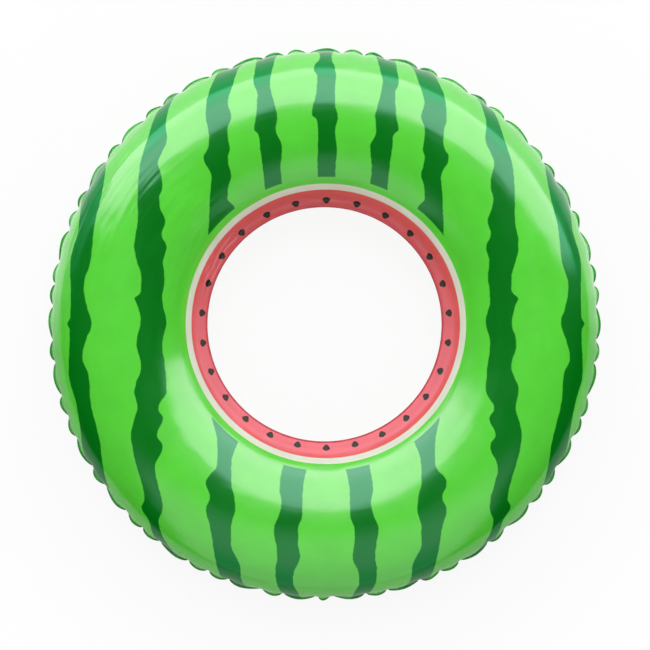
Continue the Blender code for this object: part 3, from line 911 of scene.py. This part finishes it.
# %% Edges of the stripes as seen from above
VIEW_DISTANCE = 4.0
STRIPES = {
    "outermost": (
        [(300, 270), (245, 310), (198, 345), (140, 359), (89, 371), (54, 371), (28, 371), (8, 372),
         (0, 376), (-8, 372), (-30, 372), (-48, 373), (-74, 373), (-114, 363), (-152, 356),
         (-180, 352), (-209, 339), (-242, 312), (-300, 270)],
        [(300, 275), (245, 314), (222, 320), (198, 324), (140, 337), (89, 343), (54, 352),
         (22, 347), (2, 341), (-25, 349), (-48, 354), (-74, 345), (-114, 342), (-152, 333),
         (-180, 327), (-209, 323), (-240, 314), (-300, 275)],
    ),
    "second": (
        [(345, 215), (332, 231), (292, 252), (269, 259), (233, 270), (210, 273), (180, 274),
         (150, 274), (112, 279), (90, 275), (69, 269), (45, 270), (36, 279), (30, 276), (2, 270),
         (-29, 276), (-62, 269), (-97, 279), (-123, 275), (-138, 279), (-161, 284), (-178, 282),
         (-209, 275), (-240, 266), (-255, 264), (-267, 268), (-289, 256), (-321, 242), (-345, 218)],
        [(345, 203), (332, 217), (292, 233), (269, 231), (250, 238), (233, 244), (210, 239),
         (195, 239), (181, 243), (165, 240), (150, 234), (130, 239), (112, 232), (90, 237),
         (69, 235), (35, 238), (2, 232), (-29, 238), (-62, 234), (-97, 232), (-123, 244),
         (-138, 237), (-161, 246), (-178, 238), (-209, 249), (-232, 245), (-255, 239),
         (-267, 238), (-289, 243), (-321, 229), (-345, 205)],
    ),
    "third": (
        [(395, 128), (374, 150), (352, 164), (322, 174), (301, 175), (272, 170), (255, 172),
         (240, 178), (215, 167), (183, 169), (150, 170), (131, 171), (-139, 165), (-160, 160),
         (-177, 158), (-206, 159), (-232, 175), (-252, 169), (-270, 175), (-294, 169), (-324, 164),
         (-353, 158), (-373, 147), (-395, 130)],
        [(395, 108), (374, 125), (352, 134), (335, 140), (322, 143), (301, 138), (285, 143),
         (272, 143), (255, 140), (240, 143), (215, 138), (200, 142), (183, 143), (169, 133),
         (131, 130), (-139, 115), (-172, 128), (-206, 138), (-232, 138), (-252, 134), (-270, 132),
         (-294, 138), (-324, 138), (-340, 130), (-353, 125), (-373, 122), (-395, 108)],
    ),
    "fourth": (
        [(400, 88), (386, 98), (370, 103), (352, 106), (333, 100), (301, 102), (282, 105),
         (275, 98), (255, 96), (227, 92), (197, 89), (170, 88), (-190, 58), (-204, 62),
         (-241, 68), (-260, 65), (-281, 70), (-298, 76), (-320, 73), (-338, 71), (-360, 74),
         (-376, 72), (-390, 64), (-400, 60)],
        [(400, 68), (386, 74), (370, 78), (352, 82), (333, 79), (315, 74), (301, 71), (282, 73),
         (255, 64), (227, 66), (197, 63), (170, 60), (-190, 26), (-212, 29), (-241, 34), (-281, 35),
         (-298, 41), (-320, 41), (-338, 38), (-358, 46), (-376, 48), (-390, 41), (-400, 36)],
    ),
}
MIDDLE_STRIPE = (
    [(403, -15), (396, -13), (387, -9), (371, -18), (358, -13), (340, -14), (317, -19), (304, -21),
     (299, -15), (281, -12), (250, -12), (233, -13), (215, -12), (190, -12)],
    [(403, 12), (396, 10), (387, 8), (371, 13), (358, 14), (340, 13), (317, 13), (300, 17),
     (281, 13), (250, 16), (233, 14), (215, 13), (190, 13)],
)
PRINT_SHIFT = (0.0027, 0.0009, 0.0)  # how far off its middle the sheet is printed

seen_out = line_out * VIEW_DISTANCE / (VIEW_DISTANCE - line_height)
flat_out = flat_radius - line_length


def flat_from_view(aside, along_view):
    """Place on the flat sheet, in metres, of a point seen at millimetres from the middle."""
    x, y = aside / 1000, along_view / 1000
    seen = math.hypot(x, y)
    scale = float(np.interp(seen, seen_out[::-1], flat_out[::-1])) / seen
    return x * scale, y * scale


def from_weld(seen):
    """Distance along the sheet from the inner weld of a line seen at that radius, in metres."""
    return float(np.interp(seen, seen_out[::-1], flat_out[::-1])) - HOLE_RADIUS


print("a stripe edge lies at", [round(v, 3) for v in flat_from_view(-371, 89)], "on the flat sheet")

# %% [markdown]
# A Float Curve node holds each edge: it takes the place down the sheet and gives the distance from
# the middle line. A stripe is where the distance lies between its two curves.

# %% Edges as curves
HALF_SHEET = 0.5
MIDDLE_HALF = 0.05
EDGE_SOFT = 0.0007  # ink bleeds this far


def shape_curve(value, places):
    """Puts the points of a Float Curve, from its output."""
    curve = value.node.mapping.curves[0]
    while len(curve.points) < len(places):
        curve.points.new(0.5, 0.5)
    for point, place in zip(curve.points, places):
        point.location = place
        point.handle_type = "AUTO_CLAMPED"
    value.node.mapping.update()


def edge_curve(tree, down, points, shift, span):
    """Output of a Float Curve through points that are (place down, distance across), 0 to 1."""
    value = add(tree, "FloatCurve", {"Value": down})
    value.node.mapping.extend = "HORIZONTAL"
    places = []
    for along_view, aside in sorted(points):
        x, y = flat_from_view(aside, along_view)
        places.append(((y / HALF_SHEET + 1) / 2, (x + shift) / span))
    shape_curve(value, places)
    return value


def within(tree, place, inner, outer, soft):
    """1 where place lies between inner and outer."""
    sides = []
    for high_side, low_side in ((outer, place), (place, inner)):
        apart = add(tree, "Math", {0: high_side, 1: low_side}, operation="SUBTRACT")
        sides.append(add(tree, "MapRange", {0: apart, 1: -soft, 2: soft}))
    return add(tree, "Math", {0: sides[0], 1: sides[1]}, operation="MULTIPLY")


edge_lists = [edge for pair in (*STRIPES.values(), MIDDLE_STRIPE) for edge in pair]
print(len(edge_lists), "curves through", sum(map(len, edge_lists)), "points")

# %% [markdown]
# The stripes beside the hole go by the distance from the middle line, whichever side it is on. A
# little noise moves every edge, which keeps it from looking ruled.

# %% The stripes as nodes
RAGGED = 0.0016  # how far noise moves an edge
STRIPES_START = 0.2136  # radius, as seen from above, at which the stripes begin


def stripes_of(tree, place, from_hole, ragged):
    """1 on a dark stripe and 0 beside it."""
    noisy = add(tree, "Math", {0: place[0], 1: ragged}, operation="ADD")
    size = add(tree, "Math", {0: place[0]}, operation="ABSOLUTE")
    for operation, other in (("ADD", ragged), ("DIVIDE", HALF_SHEET)):
        size = add(tree, "Math", {0: size, 1: other}, operation=operation)
    down = add(tree, "MapRange", {0: place[1], 1: -HALF_SHEET, 2: HALF_SHEET})
    span = 2 * MIDDLE_HALF
    middle = add(tree, "MapRange", {0: noisy, 1: -MIDDLE_HALF, 2: MIDDLE_HALF})
    curves = [edge_curve(tree, down, points, MIDDLE_HALF, span) for points in MIDDLE_STRIPE]
    stripe = within(tree, middle, *curves, EDGE_SOFT / span)
    beyond = add(tree, "Math", {0: place[1], 1: 0.0}, operation="GREATER_THAN")
    found = add(tree, "Math", {0: stripe, 1: beyond}, operation="MULTIPLY")
    for outer, inner in STRIPES.values():
        curves = [edge_curve(tree, down, points, 0.0, HALF_SHEET) for points in (inner, outer)]
        stripe = within(tree, size, *curves, EDGE_SOFT / HALF_SHEET)
        found = add(tree, "Math", {0: found, 1: stripe}, operation="MAXIMUM")
    start = from_weld(STRIPES_START)
    begun = add(tree, "MapRange", {0: from_hole, 1: start - EDGE_SOFT, 2: start + EDGE_SOFT})
    return add(tree, "Math", {0: found, 1: begun}, operation="MULTIPLY")


print("stripes begin", round(from_weld(STRIPES_START) * 1000), "mm from the inner weld")

# %% [markdown]
# The seeds stand in a ring, all alike, so one is drawn and repeated round the azimuth. A Float
# Curve gives a seed's half width from its tip to its round end. They stray a little from even
# steps, to one side on the left and to the other on the right.

# %% The seeds as nodes
SEEDS = 26
SEED_TIP, SEED_END = 0.1750, 0.1843  # radii as seen from above
SEED_HALF = 0.0325  # half a seed's width, in radians round the ring
SEED_TURN = 0.5  # of the first seed from the Y axis, as a share of the step from seed to seed
SEED_STRAY = -0.14  # how far they stray, as the same share
SEED_SHAPE = [(0, 0), (0.05, 0.36), (0.25, 0.66), (0.5, 0.92), (0.64, 1.0), (0.8, 0.88),
              (0.93, 0.52), (1, 0)]
SEED_SOFT = (0.01, 0.11)  # where a seed's edge starts and is full, in half widths


def seeds_of(tree, place, from_hole):
    """1 on a seed and 0 beside it."""
    step = 2 * math.pi / SEEDS
    aside = add(tree, "Math", {0: place[0], 1: place[1]}, operation="ARCTAN2")
    stray = add(tree, "Math", {0: aside}, operation="SINE")
    stray = add(tree, "Math", {0: stray, 1: SEED_STRAY}, operation="MULTIPLY")
    for operation, other in (("DIVIDE", step), ("ADD", SEEDS + SEED_TURN), ("ADD", stray),
                             ("FRACT", 0), ("SUBTRACT", 0.5), ("ABSOLUTE", 0),
                             ("MULTIPLY", step / SEED_HALF)):
        aside = add(tree, "Math", {0: aside, 1: other}, operation=operation)
    lengthwise = add(tree, "MapRange",
                     {0: from_hole, 1: from_weld(SEED_TIP), 2: from_weld(SEED_END)})
    width = add(tree, "FloatCurve", {"Value": lengthwise})
    shape_curve(width, SEED_SHAPE)
    inside = add(tree, "Math", {0: width, 1: aside}, operation="SUBTRACT")
    return add(tree, "MapRange", {0: inside, 1: SEED_SOFT[0], 2: SEED_SOFT[1]})


print("a seed is", round((from_weld(SEED_END) - from_weld(SEED_TIP)) * 1000, 1), "mm long")

# %% [markdown]
# ### Printed film
#
# The ink lies behind the clear film, in five colours laid over each other. Its cover varies a
# little, as on any gravure print.
#
# The gloss has a tint. A photograph pales its bright parts in its own way over each ink: with less
# green over the light ink, less red over the dark one, and hardly at all over the seeds. Near the
# seam, where the film is seen at a slant, it pales the light ink almost evenly and turns the dark
# one green. The tint copies this, so it changes over the print.

# %% Inks and the tint of the gloss
LIGHT_GREEN, DARK_GREEN = "5BE239", "007A10"
RIND, FLESH, SEED = "EDF7E5", "F86462", "241A10"
RIND_END, FLESH_END = 0.2036, 0.1951  # radii as seen from above
TINTS = (  # over the light ink and over the dark: on top, at the seam, and where it turns
    ((0.95, 0.62, 1.0, 1.0), (0.95, 1.0, 0.95, 1.0), sheet_width - 0.075, sheet_width - 0.05),
    ((0.5, 0.88, 0.85, 1.0), (0.0, 0.85, 0.4, 1.0), sheet_width - 0.1, sheet_width - 0.07),
)
SEED_TINT = (0.2, 0.2, 0.15, 1.0)
COVER = (0.95, 1.04)  # thinnest and thickest cover


def inks_of(tree, flat):
    """Colour of the print and tint of the gloss over it."""
    placed = add(tree, "VectorMath", {0: flat, 1: PRINT_SHIFT}, operation="SUBTRACT")
    parts = add(tree, "SeparateXYZ", {0: placed}).node.outputs
    placed = add(tree, "VectorMath", {0: placed, 1: FLATTEN}, operation="MULTIPLY")
    from_hole = add(tree, "VectorMath", {0: placed}, out="Value", operation="LENGTH")
    from_hole = add(tree, "Math", {0: from_hole, 1: HOLE_RADIUS}, operation="SUBTRACT")
    uneven = add(tree, "TexNoise", {"Vector": flat, "Scale": every(13.3), "Detail": 3.0})
    ragged = add(tree, "MapRange", {0: uneven, 3: -RAGGED, 4: RAGGED})
    stripes = stripes_of(tree, parts, from_hole, ragged)
    seeds = seeds_of(tree, parts, from_hole)
    colour = add(tree, "Mix", {0: stripes, 6: linear(LIGHT_GREEN), 7: linear(DARK_GREEN)},
                 **COLOURS)
    for radius, ink in ((RIND_END, RIND), (FLESH_END, FLESH)):
        line = from_weld(radius)
        inside = add(tree, "MapRange", {0: from_hole, 1: line + EDGE_SOFT, 2: line - EDGE_SOFT})
        colour = add(tree, "Mix", {0: inside, 6: colour, 7: linear(ink)}, **COLOURS)
    colour = add(tree, "Mix", {0: seeds, 6: colour, 7: linear(SEED)}, **COLOURS)
    cover = add(tree, "TexNoise", {"Vector": flat, "Scale": every(55.6), "Detail": 4.0})
    cover = add(tree, "MapRange", {0: cover, 1: NOISE_LOW, 2: NOISE_HIGH, 3: COVER[0], 4: COVER[1]})
    colour = add(tree, "Mix", {0: 1.0, 6: colour, 7: cover}, blend_type="MULTIPLY", **COLOURS)
    over = []
    for on_top, at_seam, start, end in TINTS:
        near = add(tree, "MapRange", {0: from_hole, 1: start, 2: end})
        over.append(add(tree, "Mix", {0: near, 6: on_top, 7: at_seam}, **COLOURS))
    tint = add(tree, "Mix", {0: stripes, 6: over[0], 7: over[1]}, **COLOURS)
    tint = add(tree, "Mix", {0: seeds, 6: tint, 7: SEED_TINT}, **COLOURS)
    return colour, tint


print("rind", round((from_weld(RIND_END) - from_weld(FLESH_END)) * 1000, 1), "mm wide")

# %% [markdown]
# The film is calendered: hot PVC is rolled between polished steel rolls, which leaves a high gloss,
# a trace of lengthwise flow lines and a hint of orange peel. Where it isn't quite tight it lies in
# soft folds a finger long, which run round the ring, 12.5 mm apart. They are finer than the mesh
# could carry, so they are bump. The flow lines are drawn coarser than the real ones, 17 mm apart,
# because finer ones would be lost between the pixels.

# %% Surface of the film
FOLDS_AT = math.radians(150)  # azimuth at which the folds are deepest
FOLDS_NEAR = (0.93, 0.99)  # cosine of the turn from there at which they begin and are full
FOLDS_ELSEWHERE = 0.15  # share of their depth that is left all round the ring
FOLDS_ROUND = 4.0  # folds to a radian, which makes each a finger long
FOLDS_HEIGHT, LINES_HEIGHT, PEEL_HEIGHT = 0.002, 0.0006, 0.0002


def surface_of(tree, flat):
    """Roughness and bump of the film."""
    rolled = add(tree, "Mapping", {"Vector": flat,
                                   "Scale": (every(16.7), every(167), every(16.7))})
    lines = add(tree, "TexNoise", {"Vector": rolled, "Scale": 1.0, "Detail": 2.0})
    gloss = add(tree, "MapRange", {0: lines, 1: NOISE_LOW, 2: NOISE_HIGH, 3: 0.16, 4: 0.21})
    around = add(tree, "VectorMath", {0: flat, 1: FLATTEN}, operation="MULTIPLY")
    around = add(tree, "VectorMath", {0: around}, operation="NORMALIZE")
    deepest = (math.cos(FOLDS_AT), math.sin(FOLDS_AT), 0.0)
    near = add(tree, "VectorMath", {0: around, 1: deepest}, out="Value", operation="DOT_PRODUCT")
    near = add(tree, "MapRange", {0: near, 1: FOLDS_NEAR[0], 2: FOLDS_NEAR[1],
                                  3: FOLDS_ELSEWHERE, 4: 1.0})
    around = add(tree, "VectorMath", {0: around, "Scale": FOLDS_ROUND}, operation="SCALE")
    along = add(tree, "VectorMath", {0: flat, 1: (0.0, 0.0, every(12.5))}, operation="MULTIPLY")
    folded = add(tree, "VectorMath", {0: around, 1: along}, operation="ADD")
    folds = add(tree, "TexNoise", {"Vector": folded, "Scale": 1.0, "Detail": 1.0})
    folds = add(tree, "Math", {0: folds, 1: near}, operation="MULTIPLY")
    peel = add(tree, "TexNoise", {"Vector": flat, "Scale": every(4.17), "Detail": 2.0})
    bump = add(tree, "Bump", {"Strength": 1.0, "Distance": FOLDS_HEIGHT, "Height": folds})
    for height, strength, distance in ((lines, 0.1, LINES_HEIGHT), (peel, 0.06, PEEL_HEIGHT)):
        bump = add(tree, "Bump", {"Strength": strength, "Distance": distance, "Height": height,
                                  "Normal": bump})
    return gloss, bump


print("folds are full within", round(math.degrees(math.acos(FOLDS_NEAR[1]))), "degrees")

# %% [markdown]
# PVC has an IOR of about 1.53. This film mirrors more than twice as strongly as that gives, so the
# IOR is matched at 1.6 and the specular level is full. The clear face is the same over every ink.

# %% Calendered, reverse-printed PVC film
def printed_film():
    material, tree, shader = new_material("calendered_pvc_film_printed", IOR=1.6,
                                          Specular_IOR_Level=1.0)
    flat = add(tree, "Attribute", out="Vector", attribute_name="flat_sheet")
    colour, tint = inks_of(tree, flat)
    gloss, bump = surface_of(tree, flat)
    wire(shader, Base_Color=colour, Specular_Tint=tint, Roughness=gloss, Normal=bump)
    return material


film_finish = printed_film()
print(film_finish.name, len(film_finish.node_tree.nodes), "nodes")

# %% [markdown]
# The back of the sheet, inside the tube, shows the ink's own matt face. It is seen only where a
# sheet is cut, but an unfinished face would show in an exported model.

# %% Ink side of the film
def ink_side():
    material, tree, shader = new_material("ink_side_of_film", IOR=1.5)
    place = add(tree, "TexCoord", out="Object")
    grain = add(tree, "TexNoise", {"Vector": place, "Scale": every(16.7), "Detail": 3.0})
    colour = add(tree, "Mix", {0: grain, 6: linear("86C978"), 7: linear("9BD68E")}, **COLOURS)
    rough = add(tree, "MapRange", {0: grain, 3: 0.5, 4: 0.62})
    wire(shader, Base_Color=colour, Roughness=rough)
    return material


dress(sheets, film_finish, ink_side())

# %% [markdown]
# ### Welded PVC
#
# The welding bar's face is knurled, so the band carries fine slanted ribs. Melted through, the two
# layers look darker and more even than the film beside them. Painted shade makes the ribs' grooves
# darker still. Real ribs are about 0.8 mm apart. They are drawn at 1.6 mm here, because the finer
# ones would be lost between the pixels.

# %% Radio-frequency welded band
RIB_SPACING = 0.0016
RIB_HEIGHT = 0.0002


def welded(name, dark, light, middle):
    """Ribs slant at 45 degrees at the middle radius of the band."""
    material, tree, shader = new_material(name, IOR=1.53)
    place = add(tree, "TexCoord", out="Object")
    parts = add(tree, "SeparateXYZ", {0: place}).node.outputs
    azimuth = add(tree, "Math", {0: parts[1], 1: parts[0]}, operation="ARCTAN2")
    level = add(tree, "VectorMath", {0: place, 1: FLATTEN}, operation="MULTIPLY")
    radius = add(tree, "VectorMath", {0: level}, out="Value", operation="LENGTH")
    round_ring = add(tree, "Math", {0: azimuth, 1: middle}, operation="MULTIPLY")
    slanted = add(tree, "Math", {0: round_ring, 1: radius}, operation="ADD")
    phase = add(tree, "Math", {0: slanted, 1: 2 * math.pi / RIB_SPACING}, operation="MULTIPLY")
    ribs = add(tree, "Math", {0: phase}, operation="SINE")
    ribs = add(tree, "MapRange", {0: ribs, 1: -1.0, 2: 1.0})
    melt = add(tree, "TexNoise", {"Vector": place, "Scale": every(9.1), "Detail": 3.0})
    # darker in the ribs' grooves: painted shade, mixed with the melt's random tone
    mixed = add(tree, "Math", {0: melt, 1: ribs}, operation="MULTIPLY")
    colour = add(tree, "Mix", {0: mixed, 6: linear(dark), 7: linear(light)}, **COLOURS)
    rough = add(tree, "MapRange", {0: melt, 1: NOISE_LOW, 2: NOISE_HIGH, 3: 0.26, 4: 0.4})
    bump = add(tree, "Bump", {"Strength": 0.35, "Distance": RIB_HEIGHT, "Height": ribs})
    wire(shader, Base_Color=colour, Roughness=rough, Normal=bump)
    return material


dress([outer_band], welded("welded_pvc_green", "1F9228", "3CBC42", OUTER_RADIUS + 0.002))
dress([inner_band], welded("welded_pvc_red", "B43E4A", "D65A66", HOLE_RADIUS - INNER_FLANGE / 2))

# %% [markdown]
# ### Clear moulded PVC
#
# Soft clear PVC is slightly milky and faintly green. Its surface copies a fine spark-eroded mould,
# which makes it satin. A thin wall lets more light through than a thick one, so there are two. The
# mould's pits are about 0.05 mm wide. They are drawn at 0.25 mm, to show at all.

# %% Soft injection-moulded PVC
PIT_DEPTH = 0.00005


def moulded_clear(name, through, milky, clear):
    material, tree, shader = new_material(name, IOR=1.53, Transmission_Weight=through)
    place = add(tree, "TexCoord", out="Object")
    cloud = add(tree, "TexNoise", {"Vector": place, "Scale": every(4.55), "Detail": 3.0})
    colour = add(tree, "Mix", {0: cloud, 6: linear(milky), 7: linear(clear)}, **COLOURS)
    rough = add(tree, "MapRange", {0: cloud, 1: NOISE_LOW, 2: NOISE_HIGH, 3: 0.22, 4: 0.34})
    pits = add(tree, "TexNoise", {"Vector": place, "Scale": every(0.25), "Detail": 2.0})
    bump = add(tree, "Bump", {"Strength": 0.15, "Distance": PIT_DEPTH, "Height": pits})
    wire(shader, Base_Color=colour, Roughness=rough, Normal=bump)
    return material


dress([base, neck, plug, strap], moulded_clear("moulded_clear_pvc_thick", 0.35, "C9D8D0", "E4EDE8"))
dress([web, flap], moulded_clear("moulded_clear_pvc_thin", 0.55, "CFDDD5", "E8F0EC"))

# %% [markdown]
# ## The studio
#
# The camera looks straight down at a ring that lies on white paper. A tall softbox stands beyond
# it and a low reflector on the near side; both show as bands of sheen on the film. The paper glows
# a little, so that it comes out white and still takes the ring's shadow.
#
# In gloss the floor is graded. The film mirrors it wherever it leans, and it is bright beyond the
# ring and in the hole, dim in front, and shaded under the ring.

# %% The floor as the film mirrors it
FRONT_TO_BEYOND = (-0.05, 0.08)  # along Y, where the one turns into the other
IN_HOLE = (0.1, 1.7)  # how bright, in front and beyond
OUTSIDE = (0.45, 1.2)
HOLE_TO_OUTSIDE = (0.2, 0.4)  # radii
UNDER_RING = 0.31  # radius of the middle of the shade
SHADE = (0.08, 0.12)  # how far from there it starts to end, and ends
SHADE_DEEP = 0.15  # what is left of the light


def rays(tree):
    """Kinds of ray, and 1 for one from the camera or through the clear valve."""
    path = add(tree, "LightPath").node.outputs
    seen = add(tree, "Math", {0: path["Is Camera Ray"], 1: path["Is Transmission Ray"]},
               operation="MAXIMUM")
    return path, seen


def mirrored_floor(tree, place, away):
    """How bright the floor is in gloss."""
    parts = add(tree, "SeparateXYZ", {0: place}).node.outputs
    zones = [add(tree, "MapRange", {0: parts[1], 1: FRONT_TO_BEYOND[0], 2: FRONT_TO_BEYOND[1],
                                    3: front, 4: beyond}) for front, beyond in (IN_HOLE, OUTSIDE)]
    is_outside = add(tree, "MapRange", {0: away, 1: HOLE_TO_OUTSIDE[0], 2: HOLE_TO_OUTSIDE[1]})
    bright = add(tree, "Mix", {0: is_outside, 2: zones[0], 3: zones[1]}, data_type="FLOAT")
    shaded = add(tree, "Math", {0: away, 1: UNDER_RING}, operation="SUBTRACT")
    shaded = add(tree, "Math", {0: shaded}, operation="ABSOLUTE")
    shaded = add(tree, "MapRange", {0: shaded, 1: SHADE[0], 2: SHADE[1], 3: SHADE_DEEP, 4: 1.0})
    return add(tree, "Math", {0: bright, 1: shaded}, operation="MULTIPLY")


print("the shade ends", round(UNDER_RING + SHADE[1], 2), "m from the middle")

# %% [markdown]
# The paper is a plain diffuse surface, with an Emission mixed in for rays from the camera and
# through the clear valve, and wholly Emission for mirrored ones. Towards the edge of the disc the
# mix turns to pure white, so no edge shows. From below the disc is clear.

# %% Floor
TABLE_RADIUS = 0.74
TABLE_DROP = 0.0002  # a hair below the ring
PAPER = (0.85, 0.9)  # how pale it is for light, and for the camera
GRAIN_DARK = 0.98
GLOW_SHARE = (0.9, 1.0)  # of the Emission near the ring and at the edge
GLOW_FULL = (0.5, TABLE_RADIUS * 0.96)  # radii between which it grows


def floor_finish():
    material = bpy.data.materials.new("white_paper_floor")
    material.use_nodes = True
    tree = material.node_tree
    tree.nodes.remove(tree.nodes["Principled BSDF"])
    path, seen = rays(tree)
    place = add(tree, "TexCoord", out="Object")
    away = add(tree, "VectorMath", {0: place}, out="Value", operation="LENGTH")
    grain = add(tree, "TexNoise", {"Vector": place, "Scale": every(33.3), "Detail": 3.0})
    tone = add(tree, "MapRange", {0: grain, 3: GRAIN_DARK, 4: 1.0})
    pale = add(tree, "MapRange", {0: path["Is Camera Ray"], 3: PAPER[0], 4: PAPER[1]})
    tone = add(tree, "Math", {0: tone, 1: pale}, operation="MULTIPLY")
    paper = add(tree, "BsdfDiffuse", {"Color": tone})
    mirrored = mirrored_floor(tree, place, away)
    strength = add(tree, "Mix", {0: path["Is Glossy Ray"], 2: 1.0, 3: mirrored}, data_type="FLOAT")
    lit = add(tree, "Emission", {"Color": WHITE, "Strength": strength})
    share = add(tree, "MapRange", {0: away, 1: GLOW_FULL[0], 2: GLOW_FULL[1],
                                   3: GLOW_SHARE[0], 4: GLOW_SHARE[1]})
    share = add(tree, "Math", {0: seen, 1: share}, operation="MULTIPLY")
    share = add(tree, "Math", {0: share, 1: path["Is Glossy Ray"]}, operation="MAXIMUM")
    shown = add(tree, "MixShader", {0: share, 1: paper, 2: lit})
    below = add(tree, "NewGeometry", out="Backfacing")
    both = add(tree, "MixShader", {0: below, 1: shown, 2: add(tree, "BsdfTransparent")})
    tree.links.new(both, tree.nodes["Material Output"].inputs["Surface"])
    return material


bpy.ops.mesh.primitive_circle_add(vertices=96, radius=TABLE_RADIUS, fill_type="NGON",
                                  location=(0, 0, -TABLE_DROP))
table = bpy.context.object
table.name = "table_top"
table.data.materials.append(floor_finish())
print("floor", round(2 * TABLE_RADIUS, 2), "m across")

# %% [markdown]
# A real softbox is brighter low down, near its lamp, and falls off towards its sides. That shows
# on glossy film as a highlight with soft ends. Here each is an area lamp whose glow is graded by
# Parametric, the place on the lamp. A mirrored softbox as strong as this one would light the ring
# from one side, and the ring is lit evenly. So the two that the film mirrors shed no light, and a
# lamp high above, which it doesn't mirror, does.

# %% Softboxes
SOFT_SIDES = (0.36, 0.5)  # from the lamp's middle, where the glow starts to end and ends
SOFT_TOP = (0.7, 1.0)  # the same, from its foot up


def softbox(name, top, foot, left, right, radiance, mirrored):
    """An area lamp between a top and a foot, both (y, z), that faces the ring.

    radiance is at the foot and at the top.
    """
    upper, lower = Vector((0, *top)), Vector((0, *foot))
    upright = (upper - lower).normalized()
    middle = (upper + lower) / 2 + Vector(((left + right) / 2, 0, 0))
    sideways = Vector((1 if upright.y * middle.z > upright.z * middle.y else -1, 0, 0))
    lamp = bpy.data.lights.new(name, "AREA")
    lamp.shape = "RECTANGLE"
    lamp.size, lamp.size_y = right - left, (upper - lower).length
    lamp.energy = math.pi * lamp.size * lamp.size_y
    lamp.use_nodes = True
    tree = lamp.node_tree
    place = add(tree, "NewGeometry", out="Parametric")
    parts = add(tree, "SeparateXYZ", {0: place}).node.outputs
    glow = add(tree, "MapRange", {0: parts[1], 3: radiance[0], 4: radiance[1]})
    if mirrored:
        aside = add(tree, "Math", {0: parts[0], 1: 0.5}, operation="SUBTRACT")
        aside = add(tree, "Math", {0: aside}, operation="ABSOLUTE")
        for along, (start, end) in ((aside, SOFT_SIDES), (parts[1], SOFT_TOP)):
            fading = add(tree, "MapRange", {0: along, 1: start, 2: end, 3: 1.0, 4: 0.0},
                         interpolation_type="SMOOTHSTEP")
            glow = add(tree, "Math", {0: glow, 1: fading}, operation="MULTIPLY")
    tree.links.new(glow, tree.nodes["Emission"].inputs["Strength"])
    made = bpy.data.objects.new(name, lamp)
    turn = Matrix((sideways, upright, sideways.cross(upright))).transposed().to_4x4()
    made.matrix_world = Matrix.Translation(middle) @ turn
    made.visible_camera = False
    made.visible_diffuse = not mirrored
    made.visible_glossy = mirrored
    bpy.context.scene.collection.objects.link(made)
    print(name, [round(v, 2) for v in middle], "shines", [round(-v, 2) for v in turn.col[2][:3]])


softbox("softbox_far", (1.0, 2.8), (1.03, 0.21), -2.6, 4.6, (2.8, 2.0), True)
softbox("lamp_overhead", (0.7, 4.6), (3.1, 2.6), -1.9, 1.9, (2.9, 2.9), False)
softbox("reflector_near", (-0.2, 0.65), (-1.03, -0.1), -0.58, 0.58, (0.6, 0.6), True)

# %% [markdown]
# The room is the world. It fills the shadows evenly, as white studio walls do. What the film
# mirrors of it is dark, so that the colours stay deep on top, but for a bright wall low down beyond
# the ring. Where the camera looks past the floor, it is white.

# %% Room
FILL = 0.5
DARK_WALLS, BRIGHT_WALL = 0.02, 1.3  # as mirrored
WALL_TOP = 0.4  # height of the wall's glow, as the sine of how far up one looks
WALL_SIDES = 0.7  # how straight beyond one looks where it is full
room = bpy.data.worlds.new("room")
room.use_nodes = True
bpy.context.scene.world = room
tree = room.node_tree
direction = add(tree, "TexCoord", out="Generated")
heading = add(tree, "SeparateXYZ", {0: direction}).node.outputs
risen = add(tree, "MapRange", {0: heading[2], 1: 0.0, 2: WALL_TOP})
wall = add(tree, "MapRange", {0: heading[1], 1: 0.0, 2: WALL_SIDES, 4: BRIGHT_WALL})
mirrored = add(tree, "Mix", {0: risen, 2: wall, 3: DARK_WALLS}, data_type="FLOAT")
path, seen = rays(tree)
strength = add(tree, "Mix", {0: path["Is Glossy Ray"], 2: FILL, 3: mirrored}, data_type="FLOAT")
strength = add(tree, "Mix", {0: seen, 2: strength, 3: 1.0}, data_type="FLOAT")
background = tree.nodes["Background"]
background.inputs["Color"].default_value = WHITE
tree.links.new(strength, background.inputs["Strength"])
print("room", len(tree.nodes), "nodes")

# %% [markdown]
# The camera stands 4 m above the seam, because the ring looks the same size near and far and so was
# seen from far off, with a long lens.

# %% Camera
VIEW_WIDTH = 0.9445  # what the picture spans at the height of the seam
VIEW_MIDDLE = (0.0007, -0.001)  # the ring lies a little off the picture's middle
SENSOR = 36.0
camera_data = bpy.data.cameras.new("camera")
camera_data.sensor_width = SENSOR
camera_data.lens = SENSOR * VIEW_DISTANCE / VIEW_WIDTH
camera = bpy.data.objects.new("camera", camera_data)
camera.location = (*VIEW_MIDDLE, centre_height + VIEW_DISTANCE)
bpy.context.scene.collection.objects.link(camera)
bpy.context.scene.camera = camera
bpy.context.scene.view_settings.view_transform = "Standard"
print("lens", round(camera_data.lens, 1), "mm")
